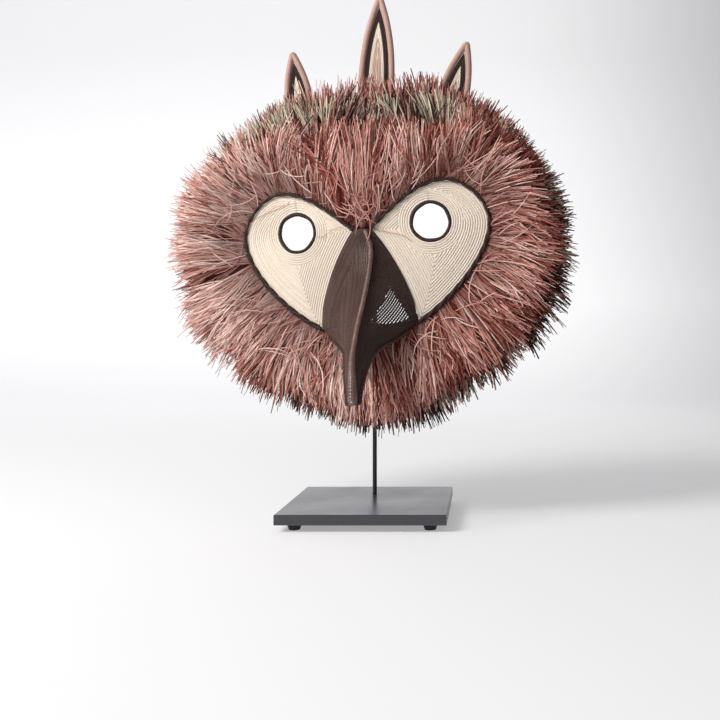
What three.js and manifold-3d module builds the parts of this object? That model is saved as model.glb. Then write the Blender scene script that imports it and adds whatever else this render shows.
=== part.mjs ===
// A woven palm-fibre bird mask on its metal display stand, in millimetres, +Z up.
// The mask faces -Y. Its hood is an open-backed woven band, with two cream cheeks that make a heart, a brown
// beak, three rows of cut fringe round it and three hooped crests on top. The stand's rod comes up inside the
// hood and carries it on a curved cradle.
import * as THREE from "three";
import { mergeVertices } from "three/addons/utils/BufferGeometryUtils.js";
import Module from "manifold-3d";

const wasm = await Module();
wasm.setup();

// Stand
const plateWidth = 150;
const plateDepth = 150;
const plateThickness = 9.2;
const plateBevel = 0.5;
const rodRadius = 2.1;
const rodFromFront = 105; // from the plate's front edge to the rod's axis
const rodSeat = 7; // how far the rod goes down into the plate
const footHeight = 6;
const footTopRadius = 7;
const footBottomRadius = 5;
const footInset = 15; // from the plate's edges to a foot's centre
const cradleWidth = 12;
const cradleThickness = 3;
const cradleReach = 34; // degrees each side of the rod, round the hood

// How the mask hangs on the stand
const maskHeight = 270; // eye line above the floor
const maskForward = 72; // eye line in front of the rod
const maskAside = -3;
const maskYaw = -8; // degrees, turned towards the viewer's left
const maskRoll = -4; // degrees, the viewer's right side up

// Face
const faceHalfWidth = 115.5;
const faceHeight = 127;
const faceSideDrop = 12; // how far the cheeks fall back at their outer edges
const faceLowerDrop = 8; // and at their lower tips
const cheekThickness = 2.6;
const eyeHoleRadius = 18.6;
const eyeCordRadius = 1.5;
const cheekCordRadius = 2.2;
const cheekCordStart = 0.015; // as shares of the way from a cheek's inner tip round to its lower tip
const cheekCordEnd = 0.985;

// Beak
const beakLength = 157;
const beakReach = 71; // how far the tip stands in front of the eye line
const beakWall = 2.2;
const beakSwell = 5; // the most that a side panel bulges, and its share of the panel's width
const beakSwellShare = 0.12;
const beakRidgeWall = 3.5; // the wall measured back from the ridge, where both panels meet
const ridgeCordRadius = 2.2;
const ridgeCordRun = [0.015, 0.99]; // from and to, as shares of the ridge
const lipCordRadius = 1.8;
const lipCordRun = [0.13, 0.97]; // from and to, as shares of the beak's free edge

// Hood
const hoodDepth = 97; // front to back at the crown
const chinDepth = 46; // front to back at the chin
const hoodWall = 4;
const hoodSeam = 8; // the hood's front flange goes this far behind the cheeks
const crownFlare = 18; // how much wider the hood is at its back than at its front
const chinFlare = 8;
const hoodCordRadius = 2.4;

// Fringe
const fringeRadius = 203; // from the middle of the face to the widest tips
const lockDepth = 5; // how far the cut tips stand above the notches between locks
const lockRib = 1.6; // how far each lock stands out of the front of the fringe
const fringeLip = 0.5; // how far the front row stands in front of the cheek beside it
const fringePuff = { near: 7.2, far: 6.8 }; // and a third and two thirds of the way to its tips
const fringeTipFall = 0.6; // its tips lie back by this share of the fall of the cheek's edge
const fringeArch = 122; // degrees each side of the crown that the back row covers

// Crests
const crestSetback = 5; // from the hood's back edge to the middle of a crest
const crestPanelThickness = 2.2;
const crestBorderWidth = 4;
const hoopRadius = 2.8;
const crestSink = 40; // how far a crest runs on below the crown's outside before it is cut to the hood

// Clearances
const touchGap = 0.3; // between pieces that touch
const seamGap = 0.4; // between woven edges that are sewn together
const rowGap = 0.7; // from a row of fringe to the surface between it and the next
const fringeGap = 2; // between the face's outline and the first fringe

// The same free form, as shares of the face's half width and height, measured from the eye line
const lobeShape = {
  innerTip: [0.065, -0.02],
  top: [0.667, 0.287],
  outer: [1, -0.024],
  lowerTip: [0.39, -0.713],
  eye: [0.541, -0.006],
};
const middleDrop = 0.276; // the middle of the face below the eye line, as a share of the face's height
const chinDrop = 0.748; // the lower edge of the face, under the beak

// Radii at every 30 degrees from the crown to the chin, as shares of the fringe's radius. The fringe is cut
// by hand, and fuller on the viewer's left.
const fringeProfile = {
  left: [0.926, 1, 0.995, 0.922, 0.795, 0.71, 0.749],
  right: [0.926, 0.966, 0.941, 0.9, 0.785, 0.715, 0.749],
};
const hoodShares = [0.493, 0.51, 0.596, 0.6, 0.484, 0.403, 0.375];
const hoodProfile = { left: hoodShares, right: hoodShares };

// How far each row's tips stop short of the fringe's outline, at every 30 degrees from the crown to the chin
const fringeRows = {
  front: [46, 38, 7, 3, 3, 5, 5],
  middle: [24, 17, 5, 3, 2, 2, 2],
  back: [4, 4, 5, 6, 8, 8, 8],
};

// The surfaces between the rows at the roots and the tips, as shares of the hood's depth at crown and chin
const rowSplits = [
  { root: [0.28, 0.3], tip: [0.31, 0.48] },
  { root: [0.5, 0.92], tip: [0.557, 1] },
  { root: [0.84, 0.92], tip: [0.866, 1] },
];

// Each crest: its tip's place on the mask, half the distance between its legs, the height of the part that
// narrows, how full that part is, and its lean in degrees
const crests = [
  { name: "left", tip: [-85, 194], halfWidth: 12.5, taper: 55, fullness: 2, lean: -4 },
  { name: "center", tip: [9.5, 240], halfWidth: 15.7, taper: 93, fullness: 2.5, lean: 6.5 },
  { name: "right", tip: [94, 184], halfWidth: 13.5, taper: 60, fullness: 2, lean: 19 },
];

// Columns of fringe on each side: over the notch, beside the cheek and under the beak. Two make a lock.
const columnsPerHalf = { notch: 3, side: 28, chin: 6 };

// How finely round stretches are faceted
const ringSides = 6;
const rodSides = 12;
const eyeSteps = 24;
const crestSteps = 8;
const hoopSteps = 12;
const cradleSteps = 14;
const outlineSteps = [13, 9, 14, 12]; // a cheek's upper edge, outer end, lower edge and beak side
const cheekCordSteps = 28;
const beakSteps = 9; // beside a cheek, and as many below it
const ridgeCordSteps = 22;
const lipCordSteps = 12;

const woven = (color) => new THREE.MeshStandardMaterial({ color, roughness: 0.8, metalness: 0 });
const materials = {
  cream: woven(0xe9dcc0),
  brown: woven(0x4a3833),
  darkCord: woven(0x33262a),
  pinkFibre: woven(0xb98077),
  darkFibre: woven(0x54443f),
  pinkCord: woven(0xcfa597),
  hood: woven(0x6b5347),
  steel: new THREE.MeshStandardMaterial({ color: 0x4a4a4f, roughness: 0.5, metalness: 0.6 }),
  rubber: new THREE.MeshStandardMaterial({ color: 0x35353a, roughness: 0.9, metalness: 0 }),
};

const sides = { left: -1, right: 1 }; // as the viewer sees them

const lerp = THREE.MathUtils.lerp;
const radians = THREE.MathUtils.degToRad;

// A point of the mask: across, up and forward, from the middle of the eye line
const place = (across, up, forward) => new THREE.Vector3(across, -forward, up);

// How far forward the woven face lies at a place on it
function faceForward(across, up) {
  const side = across / faceHalfWidth;
  const below = up / faceHeight;
  return -faceSideDrop * side * side - faceLowerDrop * below * below;
}

// A closed solid through equal sections. An open run is closed with a strip across each end.
function loft(sections, closed) {
  const count = sections[0].length;
  const positions = sections.flat().flatMap((p) => [p.x, p.y, p.z]);
  const faces = [];
  const runs = closed ? sections.length : sections.length - 1;
  for (let s = 0; s < runs; s++) {
    const here = s * count;
    const next = ((s + 1) % sections.length) * count;
    for (let i = 0; i < count; i++) {
      const j = (i + 1) % count;
      faces.push(here + i, here + j, next + j, here + i, next + j, next + i);
    }
  }
  if (!closed) {
    const last = (sections.length - 1) * count;
    for (let i = 0; i < count / 2 - 1; i++) {
      const a = i;
      const b = i + 1;
      const c = count - 2 - i;
      const d = count - 1 - i;
      faces.push(a, c, b, a, d, c);
      faces.push(last + a, last + b, last + c, last + a, last + c, last + d);
    }
  }
  if (signedVolume(positions, faces) < 0) faces.reverse();
  const geometry = new THREE.BufferGeometry();
  geometry.setAttribute("position", new THREE.Float32BufferAttribute(positions, 3));
  geometry.setIndex(faces);
  return geometry;
}

function signedVolume(positions, faces) {
  const corner = (i) => new THREE.Vector3().fromArray(positions, faces[i] * 3);
  let volume = 0;
  for (let i = 0; i < faces.length; i += 3) {
    volume += corner(i).dot(corner(i + 1).cross(corner(i + 2))) / 6;
  }
  return volume;
}

function toSolid(geometry) {
  const bare = geometry.clone();
  bare.deleteAttribute("normal");
  bare.deleteAttribute("uv");
  const merged = mergeVertices(bare, 1e-4);
  return new wasm.Manifold(
    new wasm.Mesh({
      numProp: 3,
      vertProperties: new Float32Array(merged.attributes.position.array),
      triVerts: new Uint32Array(merged.index.array),
    }),
  );
}

function toGeometry(solid) {
  const mesh = solid.getMesh();
  const geometry = new THREE.BufferGeometry();
  geometry.setAttribute("position", new THREE.BufferAttribute(mesh.vertProperties, 3));
  geometry.setIndex(new THREE.BufferAttribute(mesh.triVerts, 1));
  return geometry;
}

function circleShape(radius, sides) {
  const shape = new THREE.Shape();
  for (let i = 0; i < sides; i++) {
    const turn = (i / sides) * 2 * Math.PI;
    shape[i ? "lineTo" : "moveTo"](radius * Math.cos(turn), radius * Math.sin(turn));
  }
  shape.closePath();
  return shape;
}

function cordAlong(points, radius, steps) {
  const path = new THREE.CatmullRomCurve3(points);
  return new THREE.ExtrudeGeometry(circleShape(radius, ringSides), {
    steps,
    extrudePath: path,
    bevelEnabled: false,
  });
}

// One cheek's outline on the viewer's right: four curves, upper edge, outer end, lower edge and beak side
function lobeCurves() {
  const at = ([a, b]) => new THREE.Vector2(a * faceHalfWidth, b * faceHeight);
  const { innerTip, top, outer, lowerTip } = lobeShape;
  const handle = (from, a, b) => at([from[0] + a, from[1] + b]);
  const curve = (a, b, c, d) => new THREE.CubicBezierCurve(at(a), b, c, at(d));
  return {
    upper: curve(innerTip, handle(innerTip, 0.21, 0.16), handle(top, -0.21, 0), top),
    end: curve(top, handle(top, 0.16, 0), handle(outer, 0, 0.14), outer),
    lower: curve(outer, handle(outer, 0, -0.27), handle(lowerTip, 0.19, 0.08), lowerTip),
    beakSide: curve(lowerTip, handle(lowerTip, -0.01, 0.24), handle(innerTip, 0.12, -0.125), innerTip),
  };
}
const lobe = lobeCurves();
const middle = new THREE.Vector2(0, -middleDrop * faceHeight);

// The face's whole outline on one side, from the notch between the cheeks to the chin
const faceEdge = [
  new THREE.Vector2(0, lobe.upper.v0.y),
  ...lobe.upper.getSpacedPoints(16),
  ...lobe.end.getSpacedPoints(12).slice(1),
  ...lobe.lower.getSpacedPoints(20).slice(1),
  new THREE.Vector2(0, -chinDrop * faceHeight),
];

const turnOf = (point) => Math.atan2(point.x - middle.x, point.y - middle.y);

// How far the face reaches from its middle, at a turn from straight up
function faceRadius(turn) {
  const direction = new THREE.Vector2(Math.sin(Math.abs(turn)), Math.cos(Math.abs(turn)));
  let reach = 0;
  for (let i = 0; i + 1 < faceEdge.length; i++) {
    const a = faceEdge[i].clone().sub(middle);
    const b = faceEdge[i + 1].clone().sub(middle);
    const crossA = direction.cross(a);
    const crossB = direction.cross(b);
    if (crossA * crossB > 0 || crossA === crossB) continue;
    const met = a.lerp(b, crossA / (crossA - crossB));
    reach = Math.max(reach, met.dot(direction));
  }
  return reach;
}

// A value read smoothly from a list of values at every 30 degrees from the crown to the chin
function readEvery30(values, turn) {
  const along = (Math.abs(turn) / Math.PI) * (values.length - 1);
  const i = Math.min(values.length - 2, Math.floor(along));
  const t = along - i;
  const p = [i - 1, i, i + 1, i + 2].map((k) => values[reflect(k, values.length)]);
  const second = 2 * p[0] - 5 * p[1] + 4 * p[2] - p[3];
  const third = 3 * p[1] - p[0] - 3 * p[2] + p[3];
  return 0.5 * (2 * p[1] + (p[2] - p[0]) * t + second * t ** 2 + third * t ** 3);
}

const reflect = (k, count) => (k < 0 ? -k : k >= count ? 2 * (count - 1) - k : k);

function profileRadius(profile, turn) {
  return readEvery30(turn < 0 ? profile.left : profile.right, turn) * fringeRadius;
}

// From 0 at the crown to 1 at the chin
const towardsChin = (turn) => (1 - Math.cos(turn)) / 2;
const byPlace = (crown, chin, turn) => lerp(crown, chin, towardsChin(turn));

// The turns of all columns: evenly between the notch, the cheeks' tips and the chin
function columnTurns() {
  const stops = [0, turnOf(lobe.upper.v0), turnOf(lobe.lower.v3), Math.PI];
  const counts = [columnsPerHalf.notch, columnsPerHalf.side, columnsPerHalf.chin];
  const half = [0];
  counts.forEach((count, part) => {
    for (let i = 1; i <= count; i++) half.push(lerp(stops[part], stops[part + 1], i / count));
  });
  const back = half.slice(1, -1).reverse();
  return [...half, ...back.map((turn) => -turn)];
}
const turns = columnTurns();

// A point of the mask at a turn and distance from the face's middle
function polar(turn, radius, forward) {
  return place(middle.x + radius * Math.sin(turn), middle.y + radius * Math.cos(turn), forward);
}

const depthAt = (turn) => byPlace(hoodDepth, chinDepth, turn);
const hoodFront = (turn) => {
  const radius = profileRadius(hoodProfile, turn);
  return Math.max(radius, faceRadius(turn) + hoodWall);
};
const hoodBack = (turn) => hoodFront(turn) + byPlace(crownFlare, chinFlare, turn);

// The face's surface, carried on outwards
function surfaceAt(turn, radius) {
  return faceForward(middle.x + radius * Math.sin(turn), middle.y + radius * Math.cos(turn));
}
const flangeForward = (turn, radius) => surfaceAt(turn, radius) - cheekThickness - seamGap;
const hoodStart = (turn) => flangeForward(turn, hoodFront(turn));

// The hood's outer radius at a place behind the eye line
function hoodRadius(turn, forward) {
  const share = (hoodStart(turn) - forward) / (hoodStart(turn) + depthAt(turn));
  return lerp(hoodFront(turn), hoodBack(turn), share);
}

function hoodGeometry() {
  const sections = turns.map((turn) => {
    const inner = faceRadius(turn) - hoodSeam;
    const front = hoodFront(turn);
    const back = hoodBack(turn);
    const depth = -depthAt(turn);
    return [
      polar(turn, inner, flangeForward(turn, inner)),
      polar(turn, front, hoodStart(turn)),
      polar(turn, back, depth),
      polar(turn, back - hoodWall, depth),
      polar(turn, front - hoodWall, hoodStart(turn) - hoodWall),
      polar(turn, inner, flangeForward(turn, inner) - hoodWall),
    ];
  });
  return loft(sections, true);
}

function hoodCordGeometry() {
  const every = turns.filter((_, i) => i % 2 === 0);
  const sections = every.map((turn) => {
    const radius = hoodBack(turn) - hoodWall / 2;
    const forward = -depthAt(turn) - touchGap - hoodCordRadius;
    return ringSection((x, y) => polar(turn, radius + x, forward + y), hoodCordRadius);
  });
  return loft(sections, true);
}

function ringSection(at, radius) {
  return Array.from({ length: ringSides }, (_, i) => {
    const turn = (i / ringSides) * 2 * Math.PI;
    return at(radius * Math.cos(turn), radius * Math.sin(turn));
  });
}

// How far behind the eye line the surface between two rows of fringe meets the hood
const splitRootForward = (split, turn) => hoodStart(turn) - depthAt(turn) * byPlace(...split.root, turn);
const splitRoot = (split, turn) => hoodRadius(turn, splitRootForward(split, turn)) + touchGap;

// The surface between two rows, in front of which a row ends and behind which the next begins
function splitForward(split, turn, radius) {
  const root = splitRootForward(split, turn);
  const tip = -depthAt(turn) * byPlace(...split.tip, turn);
  const rootRadius = hoodRadius(turn, root);
  const share = (radius - rootRadius) / (profileRadius(fringeProfile, turn) - rootRadius);
  return lerp(root, tip, share);
}

// How far a row's tips reach at a turn
const rowReach = (row, turn) => profileRadius(fringeProfile, turn) - readEvery30(row, turn);

// Uneven locks: each column's tips stand higher or lower, and no two rows alike
function lock(column, row) {
  const wave = Math.sin(column * 2.4 + row * 1.7) + 0.6 * Math.sin(column * 1.1 + row * 4.1);
  return (column % 2 ? 0.5 : -0.5) + 0.3 * wave;
}

function frontFringeGeometry() {
  const split = rowSplits[0];
  const sections = turns.map((turn, column) => {
    const inner = faceRadius(turn) + fringeGap;
    const edge = surfaceAt(turn, inner);
    const reach = rowReach(fringeRows.front, turn);
    const rib = lockRib * lock(column, 0);
    const [high, mid, low] = [1, 2, 3].map((row) => reach + lockDepth * lock(column, row));
    const tipForward = edge * fringeTipFall;
    const lowForward = splitForward(split, turn, low) + rowGap;
    const front = hoodFront(turn) + touchGap;
    const root = splitRoot(split, turn);
    return [
      polar(turn, inner, edge + fringeLip),
      polar(turn, lerp(inner, reach, 1 / 3), edge + fringePuff.near + rib),
      polar(turn, lerp(inner, reach, 2 / 3), tipForward + fringePuff.far - rib),
      polar(turn, high, tipForward),
      polar(turn, mid, lerp(tipForward, lowForward, 0.5)),
      polar(turn, low, lowForward),
      polar(turn, root, splitForward(split, turn, root) + rowGap),
      polar(turn, front, flangeForward(turn, front) + touchGap),
      polar(turn, inner, flangeForward(turn, inner) + touchGap),
    ];
  });
  return loft(sections, true);
}

// A row that stands on the hood's side, between two splits
function sideFringeSection(turn, column, row, splits, firstLock) {
  const [before, after] = splits;
  const reach = rowReach(row, turn);
  const [high, mid, low] = [0, 1, 2].map((next) => reach + lockDepth * lock(column, firstLock + next));
  const rootFront = splitRoot(before, turn);
  const rootBack = splitRoot(after, turn);
  const highForward = splitForward(before, turn, high) - rowGap;
  const lowForward = splitForward(after, turn, low) + rowGap;
  const rootMiddle = lerp(splitRootForward(before, turn), splitRootForward(after, turn), 0.5);
  return [
    polar(turn, rootFront, splitForward(before, turn, rootFront) - rowGap),
    polar(turn, high, highForward),
    polar(turn, mid, lerp(highForward, lowForward, 0.5)),
    polar(turn, low, lowForward),
    polar(turn, rootBack, splitForward(after, turn, rootBack) + rowGap),
    polar(turn, lerp(rootFront, rootBack, 0.5), rootMiddle),
  ];
}

function middleFringeGeometry() {
  const splits = [rowSplits[0], rowSplits[1]];
  const sections = turns.map((turn, column) =>
    sideFringeSection(turn, column, fringeRows.middle, splits, 5),
  );
  return loft(sections, true);
}

function backFringeGeometry() {
  const splits = [rowSplits[1], rowSplits[2]];
  const covered = turns
    .map((turn, column) => ({ turn, column }))
    .filter(({ turn }) => Math.abs(turn) <= radians(fringeArch))
    .sort((a, b) => a.turn - b.turn);
  const sections = covered.map(({ turn, column }) =>
    sideFringeSection(turn, column, fringeRows.back, splits, 9),
  );
  return loft(sections, false);
}

function cheekGeometry(side) {
  const outline = [lobe.upper, lobe.end, lobe.lower, lobe.beakSide].flatMap((curve, part) =>
    curve.getSpacedPoints(outlineSteps[part]).slice(1),
  );
  const eye = eyeCentre();
  const sections = outline.map((point) => {
    const out = point.clone().sub(eye);
    const hole = eye.clone().addScaledVector(out.clone().normalize(), eyeHoleRadius);
    const across = [0, 0.5, 1].map((share) => hole.clone().lerp(point, share));
    const front = across.map((p) => place(side * p.x, p.y, faceForward(p.x, p.y)));
    const back = across.map((p) => place(side * p.x, p.y, faceForward(p.x, p.y) - cheekThickness));
    return [...front, ...back.reverse()];
  });
  return loft(sections, true);
}

function eyeCentre() {
  return new THREE.Vector2(lobeShape.eye[0] * faceHalfWidth, lobeShape.eye[1] * faceHeight);
}

function eyeCordGeometry(side) {
  const eye = eyeCentre();
  const radius = eyeHoleRadius - seamGap - eyeCordRadius;
  const sections = Array.from({ length: eyeSteps }, (_, i) => {
    const turn = (i / eyeSteps) * 2 * Math.PI;
    return ringSection((x, y) => {
      const across = eye.x + (radius + x) * Math.sin(turn);
      const up = eye.y + (radius + x) * Math.cos(turn);
      return place(side * across, up, faceForward(across, up) - cheekThickness / 2 + y);
    }, eyeCordRadius);
  });
  return loft(sections, true);
}

// The dark cord sewn on a cheek's free edge, from its inner tip round to its lower tip
function cheekCordGeometry(side) {
  const edge = new THREE.CurvePath();
  edge.curves.push(lobe.upper, lobe.end, lobe.lower);
  const points = Array.from({ length: cheekCordSteps + 1 }, (_, i) => {
    const share = lerp(cheekCordStart, cheekCordEnd, i / cheekCordSteps);
    const tangent = edge.getTangentAt(share);
    const inward = new THREE.Vector2(tangent.y, -tangent.x);
    const p = edge.getPointAt(share).addScaledVector(inward, cheekCordRadius);
    return place(side * p.x, p.y, faceForward(p.x, p.y) + cheekCordRadius + touchGap);
  });
  return cordAlong(points, cheekCordRadius, cheekCordSteps);
}

// The beak's ridge, from the notch to the tip. Woven by hand, it wanders to the viewer's right near its top.
const ridge = new THREE.CatmullRomCurve3(
  [
    [0.026, 0.02, 0.06],
    [0.06, 0.14, 0.11],
    [0.058, 0.28, 0.24],
    [0.04, 0.45, 0.45],
    [0.018, 0.61, 0.66],
    [0.003, 0.77, 0.84],
    [0, 0.9, 0.95],
    [-0.006, 1, 1],
  ].map(([across, down, forward]) => place(across * beakLength, -down * beakLength, forward * beakReach)),
);
const cornerShare = 0.58; // the share of the ridge's length that is level with the cheeks' lower tips

// One free lower edge, from a cheek's lower tip to the beak's tip
function beakFreeEdge() {
  const corner = lobe.lower.v3;
  const start = place(corner.x - seamGap, corner.y, faceForward(corner.x, corner.y));
  const rest = [
    [0.17, 0.66, 0.2],
    [0.1, 0.71, 0.44],
    [0.07, 0.775, 0.64],
    [0.052, 0.875, 0.82],
    [0.032, 0.985, 0.94],
  ].map(([across, down, forward]) => place(across * beakLength, -down * beakLength, forward * beakReach));
  return new THREE.CatmullRomCurve3([start, ...rest]);
}
const freeEdge = beakFreeEdge();

// The beak's edge and ridge at each station: down the cheek, then along the free edge
function beakStations() {
  const besideCheek = Array.from({ length: beakSteps + 1 }, (_, i) => {
    const share = i / beakSteps;
    const p = lobe.beakSide.getPointAt(1 - share);
    const across = p.x - seamGap;
    return {
      edge: place(across, p.y, faceForward(across, p.y)),
      top: ridge.getPointAt(share * cornerShare),
    };
  });
  const below = Array.from({ length: beakSteps }, (_, i) => {
    const share = (i + 1) / beakSteps;
    return {
      edge: freeEdge.getPointAt(share),
      top: ridge.getPointAt(lerp(cornerShare, 1, share)),
    };
  });
  return [...besideCheek, ...below];
}

// A woven panel's points from one edge to the ridge, swelling a little
function beakPanel(edge, top, swell) {
  const outward = new THREE.Vector3(Math.sign(edge.x), -1, 0).normalize();
  const bend = edge.clone().lerp(top, 0.5).addScaledVector(outward, swell);
  return new THREE.QuadraticBezierCurve3(edge, bend, top).getPoints(3);
}

// Both panels' points, from the left edge over the ridge to the right edge
function beakArch(edge, top, swell) {
  const mirrored = edge.clone().setX(-edge.x);
  return [...beakPanel(mirrored, top, swell), ...beakPanel(edge, top, swell).reverse().slice(1)];
}

function beakGeometry() {
  const sections = beakStations().map(({ edge, top }) => {
    const swell = Math.min(beakSwell, edge.x * beakSwellShare);
    const inset = Math.min(beakWall, edge.x / 2);
    const innerEdge = edge.clone().setX(edge.x - inset);
    const innerTop = top.clone().add(place(0, 0, -beakRidgeWall));
    return [...beakArch(edge, top, swell), ...beakArch(innerEdge, innerTop, swell).reverse()];
  });
  return loft(sections, false);
}

function ridgeCordGeometry() {
  const lift = ridgeCordRadius + 2 * touchGap;
  const points = Array.from({ length: ridgeCordSteps / 2 + 1 }, (_, i) => {
    const share = lerp(...ridgeCordRun, (2 * i) / ridgeCordSteps);
    const tangent = ridge.getTangentAt(share);
    const out = new THREE.Vector3(0, tangent.z, -tangent.y).normalize();
    return ridge.getPointAt(share).addScaledVector(out, lift);
  });
  return cordAlong(points, ridgeCordRadius, ridgeCordSteps);
}

// A dark roll under the beak's free edge
function lipCordGeometry(side) {
  const drop = lipCordRadius + touchGap;
  const points = Array.from({ length: lipCordSteps + 1 }, (_, i) => {
    const p = freeEdge.getPointAt(lerp(...lipCordRun, i / lipCordSteps));
    return new THREE.Vector3(side * p.x, p.y + drop, p.z - drop);
  });
  return cordAlong(points, lipCordRadius, lipCordSteps);
}

// Half the distance between a crest's legs at a height, from its base up to its tip
function crestHalf(crest, height, z) {
  const narrowing = Math.max(0, z - (height - crest.taper)) / crest.taper;
  return crest.halfWidth * (1 - Math.pow(narrowing, crest.fullness));
}

// One side of a crest, a distance inside the middle of its hoop, from its foot up to where both sides meet
function crestSide(crest, height, inset) {
  const points = [new THREE.Vector2(crest.halfWidth - inset, 0)];
  const slopeStep = 0.01;
  for (let i = 0; i <= crestSteps; i++) {
    const z = height - crest.taper * (1 - Math.sin((i / crestSteps) * (Math.PI / 2)));
    const slope = (crestHalf(crest, height, z) - crestHalf(crest, height, z - slopeStep)) / slopeStep;
    const norm = Math.hypot(1, slope);
    const x = crestHalf(crest, height, z) - inset / norm;
    const up = z + (slope * inset) / norm;
    const last = points[points.length - 1];
    if (x <= 0) {
      points.push(new THREE.Vector2(0, lerp(last.y, up, last.x / (last.x - x))));
      break;
    }
    points.push(new THREE.Vector2(x, up));
  }
  return points;
}

// A flat plate with a straight foot and two sides that meet in a point, and the same shape cut out of it
function crestPlate(outer, inner) {
  const outline = inner ? [...outer, ...mirror(outer), ...mirrorUp(inner)] : [...outer, ...mirror(outer)];
  const plate = new THREE.ExtrudeGeometry(new THREE.Shape(outline), {
    depth: crestPanelThickness,
    bevelEnabled: false,
  });
  plate.translate(0, 0, -crestPanelThickness / 2);
  return plate.rotateX(Math.PI / 2);
}

// The other side of an outline, from the point down to the foot, and from the foot up over the point and down
const flip = (points) => points.map((p) => new THREE.Vector2(-p.x, p.y));
const mirror = (points) => flip(points.slice(0, -1)).reverse();
const mirrorUp = (points) => [...flip(points), ...points.slice(0, -1).reverse()];

// The hood's outside, filled and grown by a gap, that the crests' feet are cut to
function hoodCore() {
  const behind = -hoodDepth - crestSetback;
  const sections = turns.map((turn) => [
    polar(turn, touchGap, hoodStart(turn)),
    polar(turn, hoodFront(turn) + touchGap, hoodStart(turn)),
    polar(turn, hoodRadius(turn, behind) + touchGap, behind),
    polar(turn, touchGap, behind),
  ]);
  return toSolid(loft(sections, true));
}

function crestPieces(crest, core) {
  const [tipAcross, tipUp] = crest.tip;
  const lean = radians(crest.lean);
  const crown = Math.sqrt(hoodBack(0) ** 2 - tipAcross ** 2) + middle.y;
  const height = (tipUp - crown) / Math.cos(lean) + crestSink;
  const put = (geometry) => {
    geometry.rotateY(lean);
    geometry.translate(
      tipAcross - height * Math.sin(lean),
      hoodDepth - crestSetback,
      tipUp - height * Math.cos(lean),
    );
    return geometry;
  };
  const leg = crestSide(crest, height, 0);
  const legs = [-1, 1].map((side) =>
    toSolid(cordAlong(leg.map((p) => new THREE.Vector3(side * p.x, 0, p.y)), hoopRadius, hoopSteps)),
  );
  const tip = toSolid(new THREE.SphereGeometry(hoopRadius, ringSides + 2, ringSides).translate(0, 0, height));
  const borderInset = hoopRadius + touchGap;
  const borderOuter = crestSide(crest, height, borderInset);
  const borderInner = crestSide(crest, height, borderInset + crestBorderWidth);
  const panelOuter = crestSide(crest, height, borderInset + crestBorderWidth + touchGap);
  const hoop = put(toGeometry(legs[0].add(legs[1]).add(tip)));
  const border = put(crestPlate(borderOuter, borderInner));
  const panel = put(crestPlate(panelOuter));
  const cut = (geometry) => toGeometry(toSolid(geometry).subtract(core));
  return [
    piece(`crest_${crest.name}_hoop`, cut(hoop), materials.pinkCord),
    piece(`crest_${crest.name}_border`, cut(border), materials.darkCord),
    piece(`crest_${crest.name}_panel`, cut(panel), materials.cream),
  ];
}

function piece(name, geometry, material) {
  const mesh = new THREE.Mesh(geometry, material);
  mesh.name = name;
  return mesh;
}

const crestCore = hoodCore();
const mask = new THREE.Group();
mask.add(piece("hood", hoodGeometry(), materials.hood));
mask.add(piece("hood_back_cord", hoodCordGeometry(), materials.darkCord));
mask.add(piece("fringe_front", frontFringeGeometry(), materials.pinkFibre));
mask.add(piece("fringe_middle", middleFringeGeometry(), materials.darkFibre));
mask.add(piece("fringe_back", backFringeGeometry(), materials.pinkFibre));
for (const [name, side] of Object.entries(sides)) {
  mask.add(piece(`cheek_${name}`, cheekGeometry(side), materials.cream));
  mask.add(piece(`cheek_cord_${name}`, cheekCordGeometry(side), materials.darkCord));
  mask.add(piece(`eye_cord_${name}`, eyeCordGeometry(side), materials.darkCord));
  mask.add(piece(`beak_lip_cord_${name}`, lipCordGeometry(side), materials.brown));
}
mask.add(piece("beak", beakGeometry(), materials.brown));
mask.add(piece("beak_ridge_cord", ridgeCordGeometry(), materials.brown));
for (const crest of crests) {
  mask.add(...crestPieces(crest, crestCore));
}
mask.rotation.set(0, radians(maskRoll), radians(maskYaw), "ZYX");
mask.position.set(maskAside, -maskForward, maskHeight);
mask.updateMatrixWorld(true);

// The rod's axis in the mask's own frame, level with the eyes
const rodInMask = mask.worldToLocal(new THREE.Vector3(0, 0, maskHeight));

// The radius of the cradle's upper face, which lies under the hood's wall
const cradleRadius = (turn, forward) => hoodRadius(turn, forward) - hoodWall - seamGap;

// A curved bar under the hood's crown
function cradleGeometry() {
  const forward = -rodInMask.y;
  const middleTurn = Math.atan2(rodInMask.x, cradleRadius(0, forward));
  const sections = Array.from({ length: cradleSteps + 1 }, (_, i) => {
    const turn = middleTurn + radians(lerp(-cradleReach, cradleReach, i / cradleSteps));
    const corner = (edge, drop) => {
      const at = forward + (edge * cradleWidth) / 2;
      return polar(turn, cradleRadius(turn, at) - drop, at);
    };
    return [corner(-1, 0), corner(1, 0), corner(1, cradleThickness), corner(-1, cradleThickness)];
  });
  return loft(sections, false);
}
mask.add(piece("stand_cradle", cradleGeometry(), materials.steel));

// The height at which the rod's end meets the cradle's underside, which slopes as the hood flares and rolls
function rodTop() {
  let low = maskHeight;
  let high = maskHeight + fringeRadius;
  while (high - low > touchGap / 10) {
    const height = (low + high) / 2;
    const p = mask.worldToLocal(new THREE.Vector3(0, 0, height));
    const up = p.z - middle.y;
    const under = cradleRadius(Math.atan2(p.x, up), -p.y) - cradleThickness;
    if (Math.hypot(p.x, up) < under) low = height;
    else high = height;
  }
  const slope = crownFlare / hoodDepth + Math.tan(Math.abs(radians(maskRoll)));
  return low - touchGap - rodRadius * slope;
}

const plateTop = footHeight + touchGap + plateThickness;

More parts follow.
